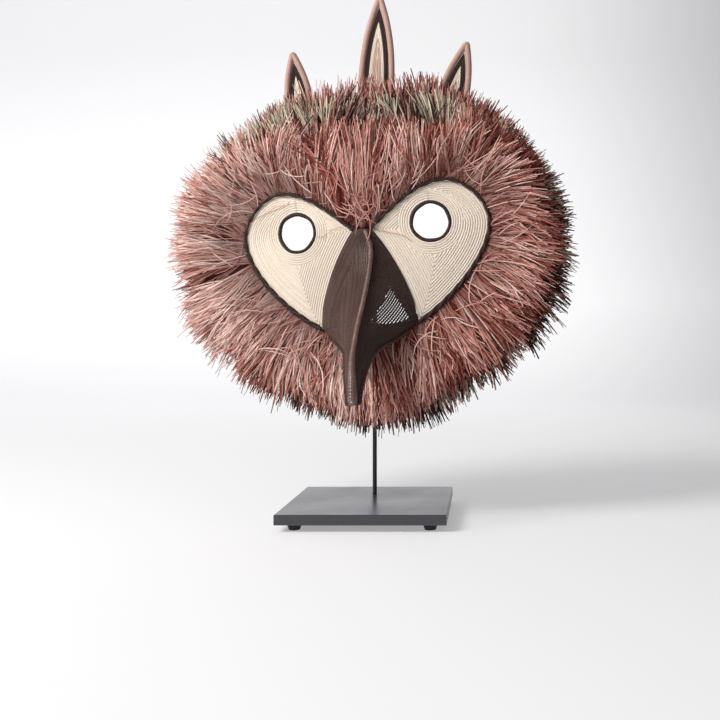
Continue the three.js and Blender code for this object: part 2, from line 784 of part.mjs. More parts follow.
function plateGeometry() {
  const w = plateWidth / 2 - plateBevel;
  const d = plateDepth / 2 - plateBevel;
  const shape = new THREE.Shape([
    new THREE.Vector2(-w, -d),
    new THREE.Vector2(w, -d),
    new THREE.Vector2(w, d),
    new THREE.Vector2(-w, d),
  ]);
  const bore = circleShape(rodRadius + touchGap + plateBevel, rodSides).getPoints();
  const hole = new THREE.Path(bore.map((p) => new THREE.Vector2(p.x, p.y + rodFromFront - plateDepth / 2)));
  shape.holes.push(hole);
  const plate = new THREE.ExtrudeGeometry(shape, {
    depth: plateThickness - 2 * plateBevel,
    bevelEnabled: true,
    bevelThickness: plateBevel,
    bevelSize: plateBevel,
    bevelSegments: 1,
  });
  return plate.translate(0, plateDepth / 2 - rodFromFront, plateTop - plateThickness + plateBevel);
}

function footGeometry() {
  const profile = [
    [0, 0],
    [footBottomRadius, 0],
    [footTopRadius, footHeight],
    [0, footHeight],
  ].map(([x, y]) => new THREE.Vector2(x, y));
  return new THREE.LatheGeometry(profile, rodSides).rotateX(Math.PI / 2);
}

const stand = new THREE.Group();
const rodBottom = plateTop - rodSeat;
const rodLength = rodTop() - rodBottom;
stand.add(piece("stand_plate", plateGeometry(), materials.steel));
const rodGeometry = new THREE.CylinderGeometry(rodRadius, rodRadius, rodLength, rodSides);
const rod = piece("stand_rod", rodGeometry, materials.steel);
rod.rotation.x = Math.PI / 2;
rod.position.z = rodBottom + rodLength / 2;
stand.add(rod);
const footRows = { front: footInset - rodFromFront, back: plateDepth - footInset - rodFromFront };
for (const [row, y] of Object.entries(footRows)) {
  for (const [name, side] of Object.entries(sides)) {
    const foot = piece(`stand_foot_${row}_${name}`, footGeometry(), materials.rubber);
    foot.position.set(side * (plateWidth / 2 - footInset), y, 0);
    stand.add(foot);
  }
}

// The origin is on the floor, under the middle of the whole object
const part = new THREE.Group();
part.add(stand, mask);
part.updateMatrixWorld(true);
const box = new THREE.Box3().setFromObject(part, true);
const centre = box.getCenter(new THREE.Vector3());
stand.position.set(-centre.x, -centre.y, -box.min.z);
mask.position.add(stand.position);

export default part;
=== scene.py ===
import math
import bpy
import numpy as np
from mathutils import Matrix, Vector


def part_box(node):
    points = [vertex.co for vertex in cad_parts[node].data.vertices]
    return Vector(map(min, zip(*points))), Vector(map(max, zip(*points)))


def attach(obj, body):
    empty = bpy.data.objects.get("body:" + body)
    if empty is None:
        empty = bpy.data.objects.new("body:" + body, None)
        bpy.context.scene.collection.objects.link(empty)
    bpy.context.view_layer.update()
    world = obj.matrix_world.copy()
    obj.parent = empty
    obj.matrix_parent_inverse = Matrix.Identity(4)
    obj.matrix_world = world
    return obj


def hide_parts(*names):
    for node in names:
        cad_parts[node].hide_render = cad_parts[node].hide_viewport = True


# A woven palm-fibre bird mask on its metal stand. Shapes are worked out in millimetres on the mask's own
# axes (across, up, forward) from the middle of the eye line, and toRow() brings them to the frame's metres.
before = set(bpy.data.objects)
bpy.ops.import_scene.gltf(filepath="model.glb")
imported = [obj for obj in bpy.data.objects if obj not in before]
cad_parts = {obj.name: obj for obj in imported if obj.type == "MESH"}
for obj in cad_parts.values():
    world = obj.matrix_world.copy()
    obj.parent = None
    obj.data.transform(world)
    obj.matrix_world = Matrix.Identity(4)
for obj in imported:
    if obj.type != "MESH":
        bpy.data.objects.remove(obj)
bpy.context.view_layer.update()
print("frame loaded with", len(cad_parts), "nodes")

mm = 0.001
rng = np.random.default_rng(21)

# How the mask hangs on its rod, as in the CAD: millimetres from the rod's foot, and degrees
hang = {"aside": -3, "forward": 72, "height": 270, "yaw": -8, "roll": -4}
rodLow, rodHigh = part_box("stand_rod")
rodAxis = (rodLow + rodHigh) / 2
yaw, roll = (Matrix.Rotation(math.radians(hang[key]), 3, axis) for key, axis in (("yaw", "Z"), ("roll", "Y")))
maskTurn = np.array(yaw @ roll)
maskOrigin = np.array([rodAxis.x + hang["aside"] * mm, rodAxis.y - hang["forward"] * mm, hang["height"] * mm])


def toRow(points):
    local = np.stack([points[:, 0], -points[:, 2], points[:, 1]], 1) * mm
    return local @ maskTurn.T + maskOrigin


# Shader nodes
def withAlpha(value):
    return (*value, 1) if isinstance(value, tuple) else value


def addNode(tree, kind, inputs=None, **settings):
    node = tree.nodes.new(kind)
    for key, value in settings.items():
        setattr(node, key, value)
    for key, value in (inputs or {}).items():
        if isinstance(value, bpy.types.NodeSocket):
            tree.links.new(value, node.inputs[key])
        else:
            node.inputs[key].default_value = value
    return node


def maths(tree, operation, a, b=0.0, clamp=False):
    return addNode(tree, "ShaderNodeMath", {0: a, 1: b}, operation=operation, use_clamp=clamp).outputs[0]


def mapRange(tree, value, run, ends=(0.0, 1.0), kind="LINEAR"):
    inputs = {0: value, 1: run[0], 2: run[1], 3: ends[0], 4: ends[1]}
    return addNode(tree, "ShaderNodeMapRange", inputs, interpolation_type=kind).outputs[0]


def readValue(tree, name):
    return addNode(tree, "ShaderNodeAttribute", attribute_name=name).outputs["Fac"]


def readPlace(tree):  # where a point lies on its own object
    return addNode(tree, "ShaderNodeTexCoord").outputs["Object"]


def mixColours(tree, factor, a, b, blend="MIX"):
    inputs = {0: factor, 6: withAlpha(a), 7: withAlpha(b)}
    return addNode(tree, "ShaderNodeMix", inputs, data_type="RGBA", blend_type=blend).outputs[2]


def ramp(tree, value, stops):
    node = addNode(tree, "ShaderNodeValToRGB", {0: value})
    elements = node.color_ramp.elements
    while len(elements) < len(stops):
        elements.new(0.5)
    for element, (place, colour) in zip(elements, stops):
        element.position = place
        element.color = withAlpha(colour)
    return node.outputs["Color"]


def groupNode(tree, group, inputs):
    return addNode(tree, "ShaderNodeGroup", inputs, node_tree=group).outputs


def newMaterial(name, roughness, specular):
    material = bpy.data.materials.new(name)
    material.use_nodes = True
    shader = material.node_tree.nodes["Principled BSDF"]
    shader.inputs["Roughness"].default_value = roughness
    shader.inputs["Specular IOR Level"].default_value = specular
    return material, material.node_tree, shader


def addBump(tree, shader, height, distance, strength=1.0):
    bump = addNode(tree, "ShaderNodeBump", {"Height": height, "Distance": distance, "Strength": strength})
    tree.links.new(bump.outputs[0], shader.inputs["Normal"])


# Camera and studio
camera = {
    "fromRod": (0.1074, -0.881, 0.1675),  # metres from the rod's foot
    "lens": 44.8,
    "axisAt": (484, 339.5),  # where the level view axis meets the 720 pixel photo
    "photoSize": 720,
}
lens = bpy.data.cameras.new("studioCamera")
lens.lens = camera["lens"]
lens.sensor_width = 36
lens.shift_x = (camera["photoSize"] / 2 - camera["axisAt"][0]) / camera["photoSize"]
lens.shift_y = (camera["axisAt"][1] - camera["photoSize"] / 2) / camera["photoSize"]
lens.clip_start = 0.02
cameraObject = bpy.data.objects.new("studioCamera", lens)
bpy.context.scene.collection.objects.link(cameraObject)
cameraObject.location = Vector((rodAxis.x, rodAxis.y, 0)) + Vector(camera["fromRod"])
cameraObject.rotation_euler = (math.radians(90), 0, 0)
bpy.context.scene.camera = cameraObject

studio = {
    "wallBehind": 2.4, "wallHigh": 3.2, "floorFront": -2.6, "halfWidth": 3.4, "bend": 0.9,
    # the paper colours are darker on the right as painted shade, and the glow colours and strengths are
    # painted light
    "paperLitLeft": (0.58, 0.582, 0.594), "paperShadedRight": (0.52, 0.516, 0.527),
    "paperShadeRun": (-0.9, 1.1), "uneven": 0.06,
    "glowLeft": (0.82, 0.822, 0.832), "glowRight": (0.2, 0.198, 0.204), "glowRun": (0.1, 1.5),
    "glow": [(0, 0.4), (0.08, 0.5), (0.25, 0.66), (0.5, 0.6), (1, 0.42)],  # strength by share of glowHigh
    "glowHigh": 1.2, "farFloor": 0.2, "farFloorRun": (0.1, 1.5),
    "far": (2.2, 1.6, 4.5), "farGlow": (0.4, 0.86), "farGlowHigh": 1.5,
    "farLeft": (0.98, 0.98, 0.98), "farRight": (0.74, 0.74, 0.745), "farRun": (-3.0, 3.0),
    "sky": (1.0, 1.0, 1.0), "skyLeft": 0.68, "skyRight": 0.14, "skyRun": (-0.8, 0.6), "skySeen": 0.93,
    "window": {"at": (-1.1, -0.9, 1.3), "size": 0.75, "power": 34, "colour": (1.0, 0.985, 0.965)},
}
bpy.context.scene.view_settings.view_transform = "Standard"


def softLight(name, place):
    light = bpy.data.lights.new(name, "AREA")
    light.shape = "SQUARE"
    light.size = place["size"]
    light.energy = place["power"]
    light.color = place["colour"]
    lamp = bpy.data.objects.new(name, light)
    bpy.context.scene.collection.objects.link(lamp)
    lamp.location = place["at"]
    lamp.rotation_euler = Vector(maskOrigin - place["at"]).to_track_quat("-Z", "Y").to_euler()


def lightRoom():  # brighter from the left, while the room itself is seen evenly pale
    world = bpy.data.worlds.new("paleRoom")
    bpy.context.scene.world = world
    world.use_nodes = True
    tree = world.node_tree
    direction = addNode(tree, "ShaderNodeTexCoord").outputs["Generated"]
    across = addNode(tree, "ShaderNodeSeparateXYZ", {0: direction}).outputs["X"]
    fall = mapRange(tree, across, studio["skyRun"], (studio["skyLeft"], studio["skyRight"]))
    seen = addNode(tree, "ShaderNodeLightPath").outputs["Is Camera Ray"]
    strength = addNode(tree, "ShaderNodeMix", {"Factor": seen, "A": fall, "B": studio["skySeen"]})
    background = tree.nodes["Background"]
    background.inputs["Color"].default_value = withAlpha(studio["sky"])
    tree.links.new(strength.outputs["Result"], background.inputs["Strength"])


softLight("windowLight", studio["window"])
lightRoom()
print("camera and lights placed")


# Mesh making
class Pile:  # gathers the points and faces of one piece, with each point's run along its fibre and its tone
    def __init__(self):
        self.points, self.quads, self.tris, self.along, self.tone = [], [], [], [], []
        self.count = 0

    def add(self, points, quads=(), tris=(), along=0.0, tone=0.0):
        points = np.asarray(points, float).reshape(-1, 3)
        self.points.append(points)
        self.along.append(np.broadcast_to(np.asarray(along, float), len(points)))
        self.tone.append(np.broadcast_to(np.asarray(tone, float), len(points)))
        if len(quads):
            self.quads.append(np.asarray(quads, int).reshape(-1, 4) + self.count)
        if len(tris):
            self.tris.append(np.asarray(tris, int).reshape(-1, 3) + self.count)
        self.count += len(points)


def makePiece(name, pile, material, replaced, smooth=True):
    points = toRow(np.vstack(pile.points))
    quads = np.vstack(pile.quads) if pile.quads else np.zeros((0, 4), int)
    tris = np.vstack(pile.tris) if pile.tris else np.zeros((0, 3), int)
    mesh = bpy.data.meshes.new(name)
    mesh.vertices.add(len(points))
    mesh.vertices.foreach_set("co", points.astype(np.float32).ravel())
    corners = np.concatenate([quads.ravel(), tris.ravel()]).astype(np.int32)
    mesh.loops.add(len(corners))
    mesh.loops.foreach_set("vertex_index", corners)
    starts = np.concatenate([np.arange(len(quads)) * 4, len(quads) * 4 + np.arange(len(tris)) * 3])
    mesh.polygons.add(len(starts))
    mesh.polygons.foreach_set("loop_start", starts.astype(np.int32))
    mesh.update(calc_edges=True)
    mesh.validate()
    for key, values in (("along", pile.along), ("tone", pile.tone)):
        attribute = mesh.attributes.new(key, "FLOAT", "POINT")
        attribute.data.foreach_set("value", np.concatenate(values).astype(np.float32))
    mesh.polygons.foreach_set("use_smooth", np.full(len(starts), smooth))
    mesh.materials.append(material)
    piece = bpy.data.objects.new(name, mesh)
    bpy.context.scene.collection.objects.link(piece)
    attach(piece, "root")
    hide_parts(*replaced)
    print(f"{name}: {2 * len(quads) + len(tris)} triangles")


def unit(vectors):
    return vectors / np.maximum(np.linalg.norm(vectors, axis=-1, keepdims=True), 1e-9)


def squareTo(tangent, out):  # the two ways square to a path, across its face and out of it
    side = unit(np.cross(tangent, out))
    return side, np.cross(side, tangent)


def runAlong(points):
    return np.concatenate([[0], np.cumsum(np.linalg.norm(np.diff(points, axis=0), axis=1))])


def resample(points, spacing=None, count=None, closed=False):
    points = np.asarray(points, float)
    if closed:
        points = np.vstack([points, points[:1]])
    run = runAlong(points)
    if count is None:
        count = max(3, int(round(run[-1] / spacing)) + 1)
    places = np.linspace(0, run[-1], count, endpoint=not closed)
    return np.stack([np.interp(places, run, points[:, k]) for k in range(points.shape[1])], 1)


def bezier(a, b, c, d, count):
    t = np.linspace(0, 1, 240)[:, None]
    a, b, c, d = (np.array(p, float) for p in (a, b, c, d))
    curve = (1 - t) ** 3 * a + 3 * (1 - t) ** 2 * t * b + 3 * (1 - t) * t ** 2 * c + t ** 3 * d
    return resample(curve, count=count)


def smoothCurve(points, count, steps=30):  # through every point, with knots a root of the distance apart
    points = [np.array(p, float) for p in points]
    ends = [2 * points[0] - points[1], *points, 2 * points[-1] - points[-2]]
    curve = []
    for p0, p1, p2, p3 in zip(ends, ends[1:], ends[2:], ends[3:]):
        k = np.cumsum([0] + [np.linalg.norm(b - a) ** 0.5 for a, b in ((p0, p1), (p1, p2), (p2, p3))])
        t = np.linspace(k[1], k[2], steps, endpoint=False)[:, None]
        a1 = ((k[1] - t) * p0 + (t - k[0]) * p1) / (k[1] - k[0])
        a2 = ((k[2] - t) * p1 + (t - k[1]) * p2) / (k[2] - k[1])
        a3 = ((k[3] - t) * p2 + (t - k[2]) * p3) / (k[3] - k[2])
        b1 = ((k[2] - t) * a1 + (t - k[0]) * a2) / (k[2] - k[0])
        b2 = ((k[3] - t) * a2 + (t - k[1]) * a3) / (k[3] - k[1])
        curve.append(((k[2] - t) * b1 + (t - k[1]) * b2) / (k[2] - k[1]))
    return resample(np.vstack([*curve, points[-1][None]]), count=count)


def gridQuads(rows, columns, wrapRows=False, wrapColumns=False):
    down, over = rows - (not wrapRows), columns - (not wrapColumns)
    i, j = np.repeat(np.arange(down), over), np.tile(np.arange(over), down)
    nextI, nextJ = (i + 1) % rows, (j + 1) % columns
    return np.stack([i * columns + j, nextI * columns + j, nextI * columns + nextJ, i * columns + nextJ], 1)


def sweep(pile, path, out, radii, sides, wrap=None, closed=False, tone=0.0):
    # a round or flattened tube: out is the way its face looks, and wrap = (pitch, depth) adds a thread
    # wound round it
    path = np.asarray(path, float)
    around = (np.roll(path, -1, 0) - np.roll(path, 1, 0)) if closed else np.gradient(path, axis=0)
    tangent = unit(around)
    side, lift = squareTo(tangent, out)
    angle = np.arange(sides) / sides * 2 * math.pi
    along = runAlong(path)
    scale = np.ones((len(path), sides))
    if wrap:
        pitch, depth = wrap
        if closed:
            pitch = (along[-1] + np.linalg.norm(path[0] - path[-1])) / round(along[-1] / pitch)
        phase = along[:, None] / pitch + angle[None] / (2 * math.pi)
        scale = 1 - depth + depth * np.abs(np.sin(math.pi * phase)) ** 0.6
    width, height = (np.broadcast_to(r, len(path))[:, None, None] for r in radii)
    sideways = width * np.cos(angle)[None, :, None] * side[:, None]
    upwards = height * np.sin(angle)[None, :, None] * lift[:, None]
    ring = path[:, None] + scale[..., None] * (sideways + upwards)
    points = ring.reshape(-1, 3)
    tris = []
    runs = np.repeat(along, sides)
    if not closed:
        bulge = 0.45 * min(np.min(r) for r in radii)
        caps = np.stack([path[0] - tangent[0] * bulge, path[-1] + tangent[-1] * bulge])
        j = np.arange(sides)
        k = (j + 1) % sides
        last = (len(path) - 1) * sides
        foot = np.full(sides, len(points))
        tris = np.concatenate([np.stack([foot, j, k], 1), np.stack([foot + 1, last + k, last + j], 1)])
        points = np.vstack([points, caps])
        runs = np.concatenate([runs, [along[0], along[-1]]])
    pile.add(points, gridQuads(len(path), sides, closed, True), tris, runs, tone)


# Finishes
def newGroup(name, inputs, outputs):
    group = bpy.data.node_groups.new(name, "ShaderNodeTree")
    for socket, kind, value in inputs:
        made = group.interface.new_socket(socket, in_out="INPUT", socket_type=kind)
        if value is not None:
            made.default_value = value
    for socket, kind in outputs:
        group.interface.new_socket(socket, in_out="OUTPUT", socket_type=kind)
    return group, group.nodes.new("NodeGroupInput").outputs, group.nodes.new("NodeGroupOutput").inputs


def makeStreakGroup():  # lighter and darker streaks that run along each fibre
    group, given, out = newGroup(
        "fibreStreaks",
        [("Along", "NodeSocketFloat", 0), ("Tone", "NodeSocketFloat", 0), ("Length", "NodeSocketFloat", 12)],
        [("Streak", "NodeSocketFloat"), ("Height", "NodeSocketFloat")],
    )
    run = maths(group, "DIVIDE", given["Along"], given["Length"])
    seed = maths(group, "MULTIPLY", given["Tone"], 613.0)
    where = addNode(group, "ShaderNodeCombineXYZ", {0: run, 1: seed}).outputs[0]
    inputs = {"Vector": where, "Scale": 1.0, "Detail": 3.0}
    noise = addNode(group, "ShaderNodeTexNoise", inputs, noise_dimensions="2D").outputs["Fac"]
    group.links.new(noise, out["Streak"])
    group.links.new(maths(group, "MULTIPLY", noise, 0.5), out["Height"])
    return group


def makeStitchGroup():  # the stitches that bind a coil: a ridge at every pitch along it, none quite alike, and the groove between them that takes painted shade
    group, given, out = newGroup(
        "coilStitches",
        [("Along", "NodeSocketFloat", 0), ("Tone", "NodeSocketFloat", 0), ("Pitch", "NodeSocketFloat", 1.3)],
        [("Ridge", "NodeSocketFloat"), ("GrooveShade", "NodeSocketFloat")],
    )
    stitches = maths(group, "DIVIDE", given["Along"], given["Pitch"])
    shifted = maths(group, "ADD", stitches, maths(group, "MULTIPLY", given["Tone"], 37.0))
    wave = maths(group, "ABSOLUTE", maths(group, "SINE", maths(group, "MULTIPLY", shifted, math.pi)))
    group.links.new(wave, out["Ridge"])
    # painted shade: where the stitches dip, the groove mask darkens the colour
    grooveShade = maths(group, "SUBTRACT", 1.0, maths(group, "POWER", wave, 0.5), clamp=True)
    group.links.new(grooveShade, out["GrooveShade"])
    return group


def makeCloudGroup():  # broad uneven colour, as in sun-faded or hand-dyed stuff
    group, given, out = newGroup(
        "clouding", [("Size", "NodeSocketFloat", 30)], [("Mask", "NodeSocketFloat")]
    )
    scale = maths(group, "DIVIDE", 1 / mm, given["Size"])
    broad = addNode(group, "ShaderNodeTexNoise", {"Vector": readPlace(group), "Scale": scale, "Detail": 4.0})
    group.links.new(mapRange(group, broad.outputs["Fac"], (0.3, 0.7)), out["Mask"])
    return group


streakGroup, stitchGroup, cloudGroup = makeStreakGroup(), makeStitchGroup(), makeCloudGroup()


def coilMaterial(name, look):  # coiled or wrapped fibre: tone picks from the palette, stitches cross the coil
    material, tree, shader = newMaterial(name, look["roughness"], look.get("specular", 0.35))
    fibre = {"Along": readValue(tree, "along"), "Tone": readValue(tree, "tone")}
    streak = groupNode(tree, streakGroup, {**fibre, "Length": look["streak"][1]})
    stitch = groupNode(tree, stitchGroup, {**fibre, "Pitch": look["grooveShade"][1]})
    cloud = groupNode(tree, cloudGroup, {"Size": look["cloud"][1]})
    colour = ramp(tree, fibre["Tone"], look["palette"])
    for layer, mask in (("streak", streak["Streak"]), ("cloud", cloud["Mask"]), ("grooveShade", stitch["GrooveShade"])):
        amount, _, paint = look[layer]
        colour = mixColours(tree, maths(tree, "MULTIPLY", mask, amount), colour, paint)
    tree.links.new(colour, shader.inputs["Base Color"])
    addBump(tree, shader, maths(tree, "ADD", stitch["Ridge"], streak["Height"]), look["bump"] * mm)
    return material


# Each finish has three layers over its palette: (how much, how long in mm, colour); the last darkens the
# grooves between stitches as painted shade
coilLooks = {
    "creamCoil": {
        "palette": [
            (0.0, (0.80, 0.71, 0.61)), (0.6, (0.86, 0.79, 0.70)), (0.85, (0.76, 0.65, 0.545)),
            (0.95, (0.46, 0.29, 0.23)), (1.0, (0.52, 0.33, 0.27)),
        ],
        "streak": (0.35, 14, (0.66, 0.52, 0.40)),
        "cloud": (0.25, 45, (0.78, 0.66, 0.54)),
        "grooveShade": (0.5, 1.5, (0.50, 0.37, 0.27)),
        "roughness": 0.62, "bump": 0.16,
    },
    "brownCoil": {
        "palette": [(0.0, (0.026, 0.009, 0.007)), (0.5, (0.086, 0.041, 0.033)), (1.0, (0.235, 0.133, 0.112))],
        "streak": (0.55, 4, (0.19, 0.115, 0.095)),
        "cloud": (0.45, 20, (0.030, 0.013, 0.011)),
        "grooveShade": (0.8, 1.3, (0.014, 0.007, 0.006)),
        "roughness": 0.32, "specular": 0.34, "bump": 1.0,
    },
    "ridgeWrap": {
        "palette": [(0.0, (0.075, 0.034, 0.024)), (1.0, (0.16, 0.082, 0.060))],
        "streak": (0.5, 4, (0.30, 0.19, 0.155)),
        "cloud": (0.4, 18, (0.075, 0.034, 0.027)),
        "grooveShade": (0.5, 0.9, (0.03, 0.012, 0.010)),
        "roughness": 0.26, "specular": 0.8, "bump": 0.2,
    },
    "darkWrap": {
        "palette": [(0.0, (0.020, 0.010, 0.009)), (0.6, (0.036, 0.019, 0.017)), (1.0, (0.065, 0.036, 0.031))],
        "streak": (0.4, 3, (0.11, 0.07, 0.06)),
        "cloud": (0.3, 20, (0.02, 0.010, 0.009)),
        "grooveShade": (0.5, 0.9, (0.008, 0.004, 0.004)),
        "roughness": 0.62, "specular": 0.18, "bump": 0.1,
    },
    "pinkWrap": {
        "palette": [(0.0, (0.44, 0.265, 0.215)), (1.0, (0.56, 0.355, 0.30))],
        "streak": (0.5, 2.5, (0.68, 0.49, 0.42)),
        "cloud": (0.4, 24, (0.40, 0.22, 0.18)),
        "grooveShade": (0.45, 0.7, (0.22, 0.11, 0.085)),
        "roughness": 0.5, "specular": 0.35, "bump": 0.1,
    },
    "hoodCoil": {
        "palette": [(0.0, (0.13, 0.068, 0.052)), (0.5, (0.20, 0.11, 0.085)), (1.0, (0.28, 0.17, 0.13))],
        "streak": (0.5, 9, (0.30, 0.19, 0.15)),
        "cloud": (0.4, 50, (0.10, 0.052, 0.045)),
        "grooveShade": (0.6, 3.2, (0.04, 0.022, 0.018)),
        "roughness": 0.7, "bump": 0.35,
    },
}
coils = {name: coilMaterial(name, look) for name, look in coilLooks.items()}

# In each look the root colour, run and amount give painted shade that darkens the strands towards their roots
fibreLooks = {
    "pinkFibre": {
        "palette": [
            (0.0, (0.085, 0.011, 0.007)), (0.28, (0.24, 0.052, 0.037)), (0.55, (0.50, 0.197, 0.156)),
            (0.8, (0.82, 0.485, 0.415)), (0.96, (0.94, 0.72, 0.645)), (1.0, (0.12, 0.060, 0.048)),
        ],
        "rootShadeColour": (0.07, 0.009, 0.006), "rootShadeRun": (0, 48), "root": 0.68, "roughness": 0.45,
    },
    "mixedFibre": {
        "palette": [
            (0.0, (0.022, 0.012, 0.011)), (0.25, (0.070, 0.040, 0.034)), (0.5, (0.20, 0.125, 0.10)),
            (0.52, (0.33, 0.12, 0.10)), (0.7, (0.56, 0.28, 0.24)), (0.72, (0.40, 0.37, 0.29)),
            (0.85, (0.70, 0.64, 0.50)), (1.0, (0.86, 0.78, 0.60)),
        ],
        "rootShadeColour": (0.025, 0.012, 0.011), "rootShadeRun": (0, 60), "root": 0.7, "roughness": 0.5,
    },
}


def fibreMaterial(name, look):  # loose strands: tone picks the dye, and painted shade darkens them towards the root
    material, tree, shader = newMaterial(name, look["roughness"], 0.1)
    along, tone = readValue(tree, "along"), readValue(tree, "tone")
    streak = groupNode(tree, streakGroup, {"Along": along, "Tone": tone, "Length": 16.0})
    cloud = groupNode(tree, cloudGroup, {"Size": 40.0})
    # painted shade: the strands darken towards the root, deep in the fringe
    depth = mapRange(tree, along, look["rootShadeRun"], (look["root"], 0.0))
    rootShaded = mixColours(tree, depth, ramp(tree, tone, look["palette"]), look["rootShadeColour"])
    patchy = maths(tree, "MULTIPLY", cloud["Mask"], 0.2)
    shade = maths(tree, "ADD", maths(tree, "MULTIPLY", streak["Streak"], 0.9), patchy)
    spread = ramp(tree, shade, [(0.25, (0.58, 0.47, 0.45)), (0.75, (1.0, 1.0, 1.0))])
    tree.links.new(mixColours(tree, 1.0, rootShaded, spread, "MULTIPLY"), shader.inputs["Base Color"])
    addBump(tree, shader, streak["Height"], 0.15 * mm)
    return material


fibres = {name: fibreMaterial(name, look) for name, look in fibreLooks.items()}


def shadeBodyMaterial():  # the dense body of fibre that shows only between the strands, painted dark as the shade deep among them
    material, tree, shader = newMaterial("shadeBodyFibre", 0.85, 0.2)
    along, tone = readValue(tree, "along"), readValue(tree, "tone")
    streak = groupNode(tree, streakGroup, {"Along": along, "Tone": tone, "Length": 25.0})
    colour = ramp(tree, streak["Streak"], [(0.3, (0.030, 0.006, 0.005)), (0.7, (0.11, 0.026, 0.020))])
    tree.links.new(colour, shader.inputs["Base Color"])
    addBump(tree, shader, streak["Height"], 1.2 * mm)
    return material


def coatMaterial(name, look):  # fine powder coat, a little cloudy
    material, tree, shader = newMaterial(name, look["roughness"], look["specular"])
    cloud = groupNode(tree, cloudGroup, {"Size": look["cloudSize"]})["Mask"]
    grain = groupNode(tree, cloudGroup, {"Size": look["grainSize"]})["Mask"]
    tree.links.new(mixColours(tree, cloud, look["dark"], look["light"]), shader.inputs["Base Color"])
    rough = mapRange(tree, cloud, (0.0, 1.0), (look["roughness"] - 0.05, look["roughness"] + 0.06))
    tree.links.new(rough, shader.inputs["Roughness"])
    addBump(tree, shader, grain, look["bump"] * mm, 0.5)
    return material


coatLooks = {
    "powderCoat": {
        "dark": (0.016, 0.016, 0.023), "light": (0.024, 0.024, 0.033), "roughness": 0.28, "specular": 0.85,
        "cloudSize": 60, "grainSize": 0.9, "bump": 0.05,
    },
    "blackRod": {
        "dark": (0.012, 0.012, 0.014), "light": (0.020, 0.020, 0.023), "roughness": 0.4, "specular": 0.4,
        "cloudSize": 30, "grainSize": 0.7, "bump": 0.04,
    },
    "footRubber": {
        "dark": (0.022, 0.022, 0.026), "light": (0.035, 0.035, 0.04), "roughness": 0.7, "specular": 0.3,
        "cloudSize": 12, "grainSize": 0.5, "bump": 0.08,
    },
}
coats = {name: coatMaterial(name, look) for name, look in coatLooks.items()}
shadeBodyFibre = shadeBodyMaterial()
print("finishes made")


# Floor and backdrop in one sweep of pale paper, coloured darker to the right as painted shade and given a
# glow of painted light
def stagePaper(name, points, quads, material):
    mesh = bpy.data.meshes.new(name)
    mesh.from_pydata(points, [], quads.tolist())
    mesh.polygons.foreach_set("use_smooth", np.ones(len(mesh.polygons), bool))
    mesh.materials.append(material)
    paper = bpy.data.objects.new(name, mesh)
    bpy.context.scene.collection.objects.link(paper)
    return paper


def bentUp(start, bend, steps):  # the paper's rise from the floor to the wall, as (distance, height)
    turns = np.linspace(0, math.pi / 2, steps)
    return [(start + bend * math.sin(t), bend - bend * math.cos(t)) for t in turns]


def makeBackdrop():
    bend, behind, high = studio["bend"], studio["wallBehind"], studio["wallHigh"]
    profile = np.array([(studio["floorFront"], 0.0), *bentUp(behind - bend, bend, 16), (behind, high)])
    x = np.linspace(-studio["halfWidth"], studio["halfWidth"], 3)
    points = np.stack([np.repeat(x, len(profile)), np.tile(profile[:, 0], 3), np.tile(profile[:, 1], 3)], 1)
    material, tree, shader = newMaterial("palePaper", 0.9, 0.1)
    place = addNode(tree, "ShaderNodeSeparateXYZ", {0: readPlace(tree)}).outputs
    # painted shade: the paper's colour darkens towards the right, away from the light
    fall = mapRange(tree, place["X"], studio["paperShadeRun"], kind="SMOOTHSTEP")
    cloud = groupNode(tree, cloudGroup, {"Size": 900.0})
    uneven = maths(tree, "ADD", fall, maths(tree, "MULTIPLY", cloud["Mask"], studio["uneven"]))
    colour = mixColours(tree, uneven, studio["paperLitLeft"], studio["paperShadedRight"])
    tree.links.new(colour, shader.inputs["Base Color"])
    # painted light: the paper glows, brighter on the left, changing with height and further back
    away = mapRange(tree, place["X"], studio["glowRun"], kind="SMOOTHSTEP")
    shine = mixColours(tree, away, studio["glowLeft"], studio["glowRight"])
    tree.links.new(shine, shader.inputs["Emission Color"])
    height = maths(tree, "MULTIPLY", place["Z"], 1 / studio["glowHigh"])
    near = ramp(tree, height, [(at, (glow, glow, glow)) for at, glow in studio["glow"]])
    further = mapRange(tree, place["Y"], studio["farFloorRun"], (0.0, studio["farFloor"]), "SMOOTHSTEP")
    tree.links.new(maths(tree, "ADD", near, further), shader.inputs["Emission Strength"])
    stagePaper("paperSweep", points.tolist(), gridQuads(3, len(profile)), material)


def makeFarPaper():
    # the same paper further out all round, seen only past the sweep's edges: it neither lights nor shades,
    # and shows only painted light, a glow brighter on the left and higher up
    start, bend, high = studio["far"]
    profile = [*bentUp(start, bend, 12), (start + bend, high)]
    around = np.linspace(0, 2 * math.pi, 96, endpoint=False)
    points = [(r * math.sin(a), r * math.cos(a), z + 0.002) for a in around for r, z in profile]
    material, tree, shader = newMaterial("farPaper", 1.0, 0.0)
    place = addNode(tree, "ShaderNodeSeparateXYZ", {0: readPlace(tree)}).outputs
    fall = mapRange(tree, place["X"], studio["farRun"])
    shine = mixColours(tree, fall, studio["farLeft"], studio["farRight"])
    tree.links.new(shine, shader.inputs["Emission Color"])
    shader.inputs["Base Color"].default_value = (0, 0, 0, 1)
    glow = mapRange(tree, place["Z"], (0.0, studio["farGlowHigh"]), studio["farGlow"])
    tree.links.new(glow, shader.inputs["Emission Strength"])
    paper = stagePaper("farPaper", points, gridQuads(96, len(profile), True), material)
    for ray in ("diffuse", "glossy", "transmission", "shadow"):
        setattr(paper, f"visible_{ray}", False)


makeBackdrop()
makeFarPaper()

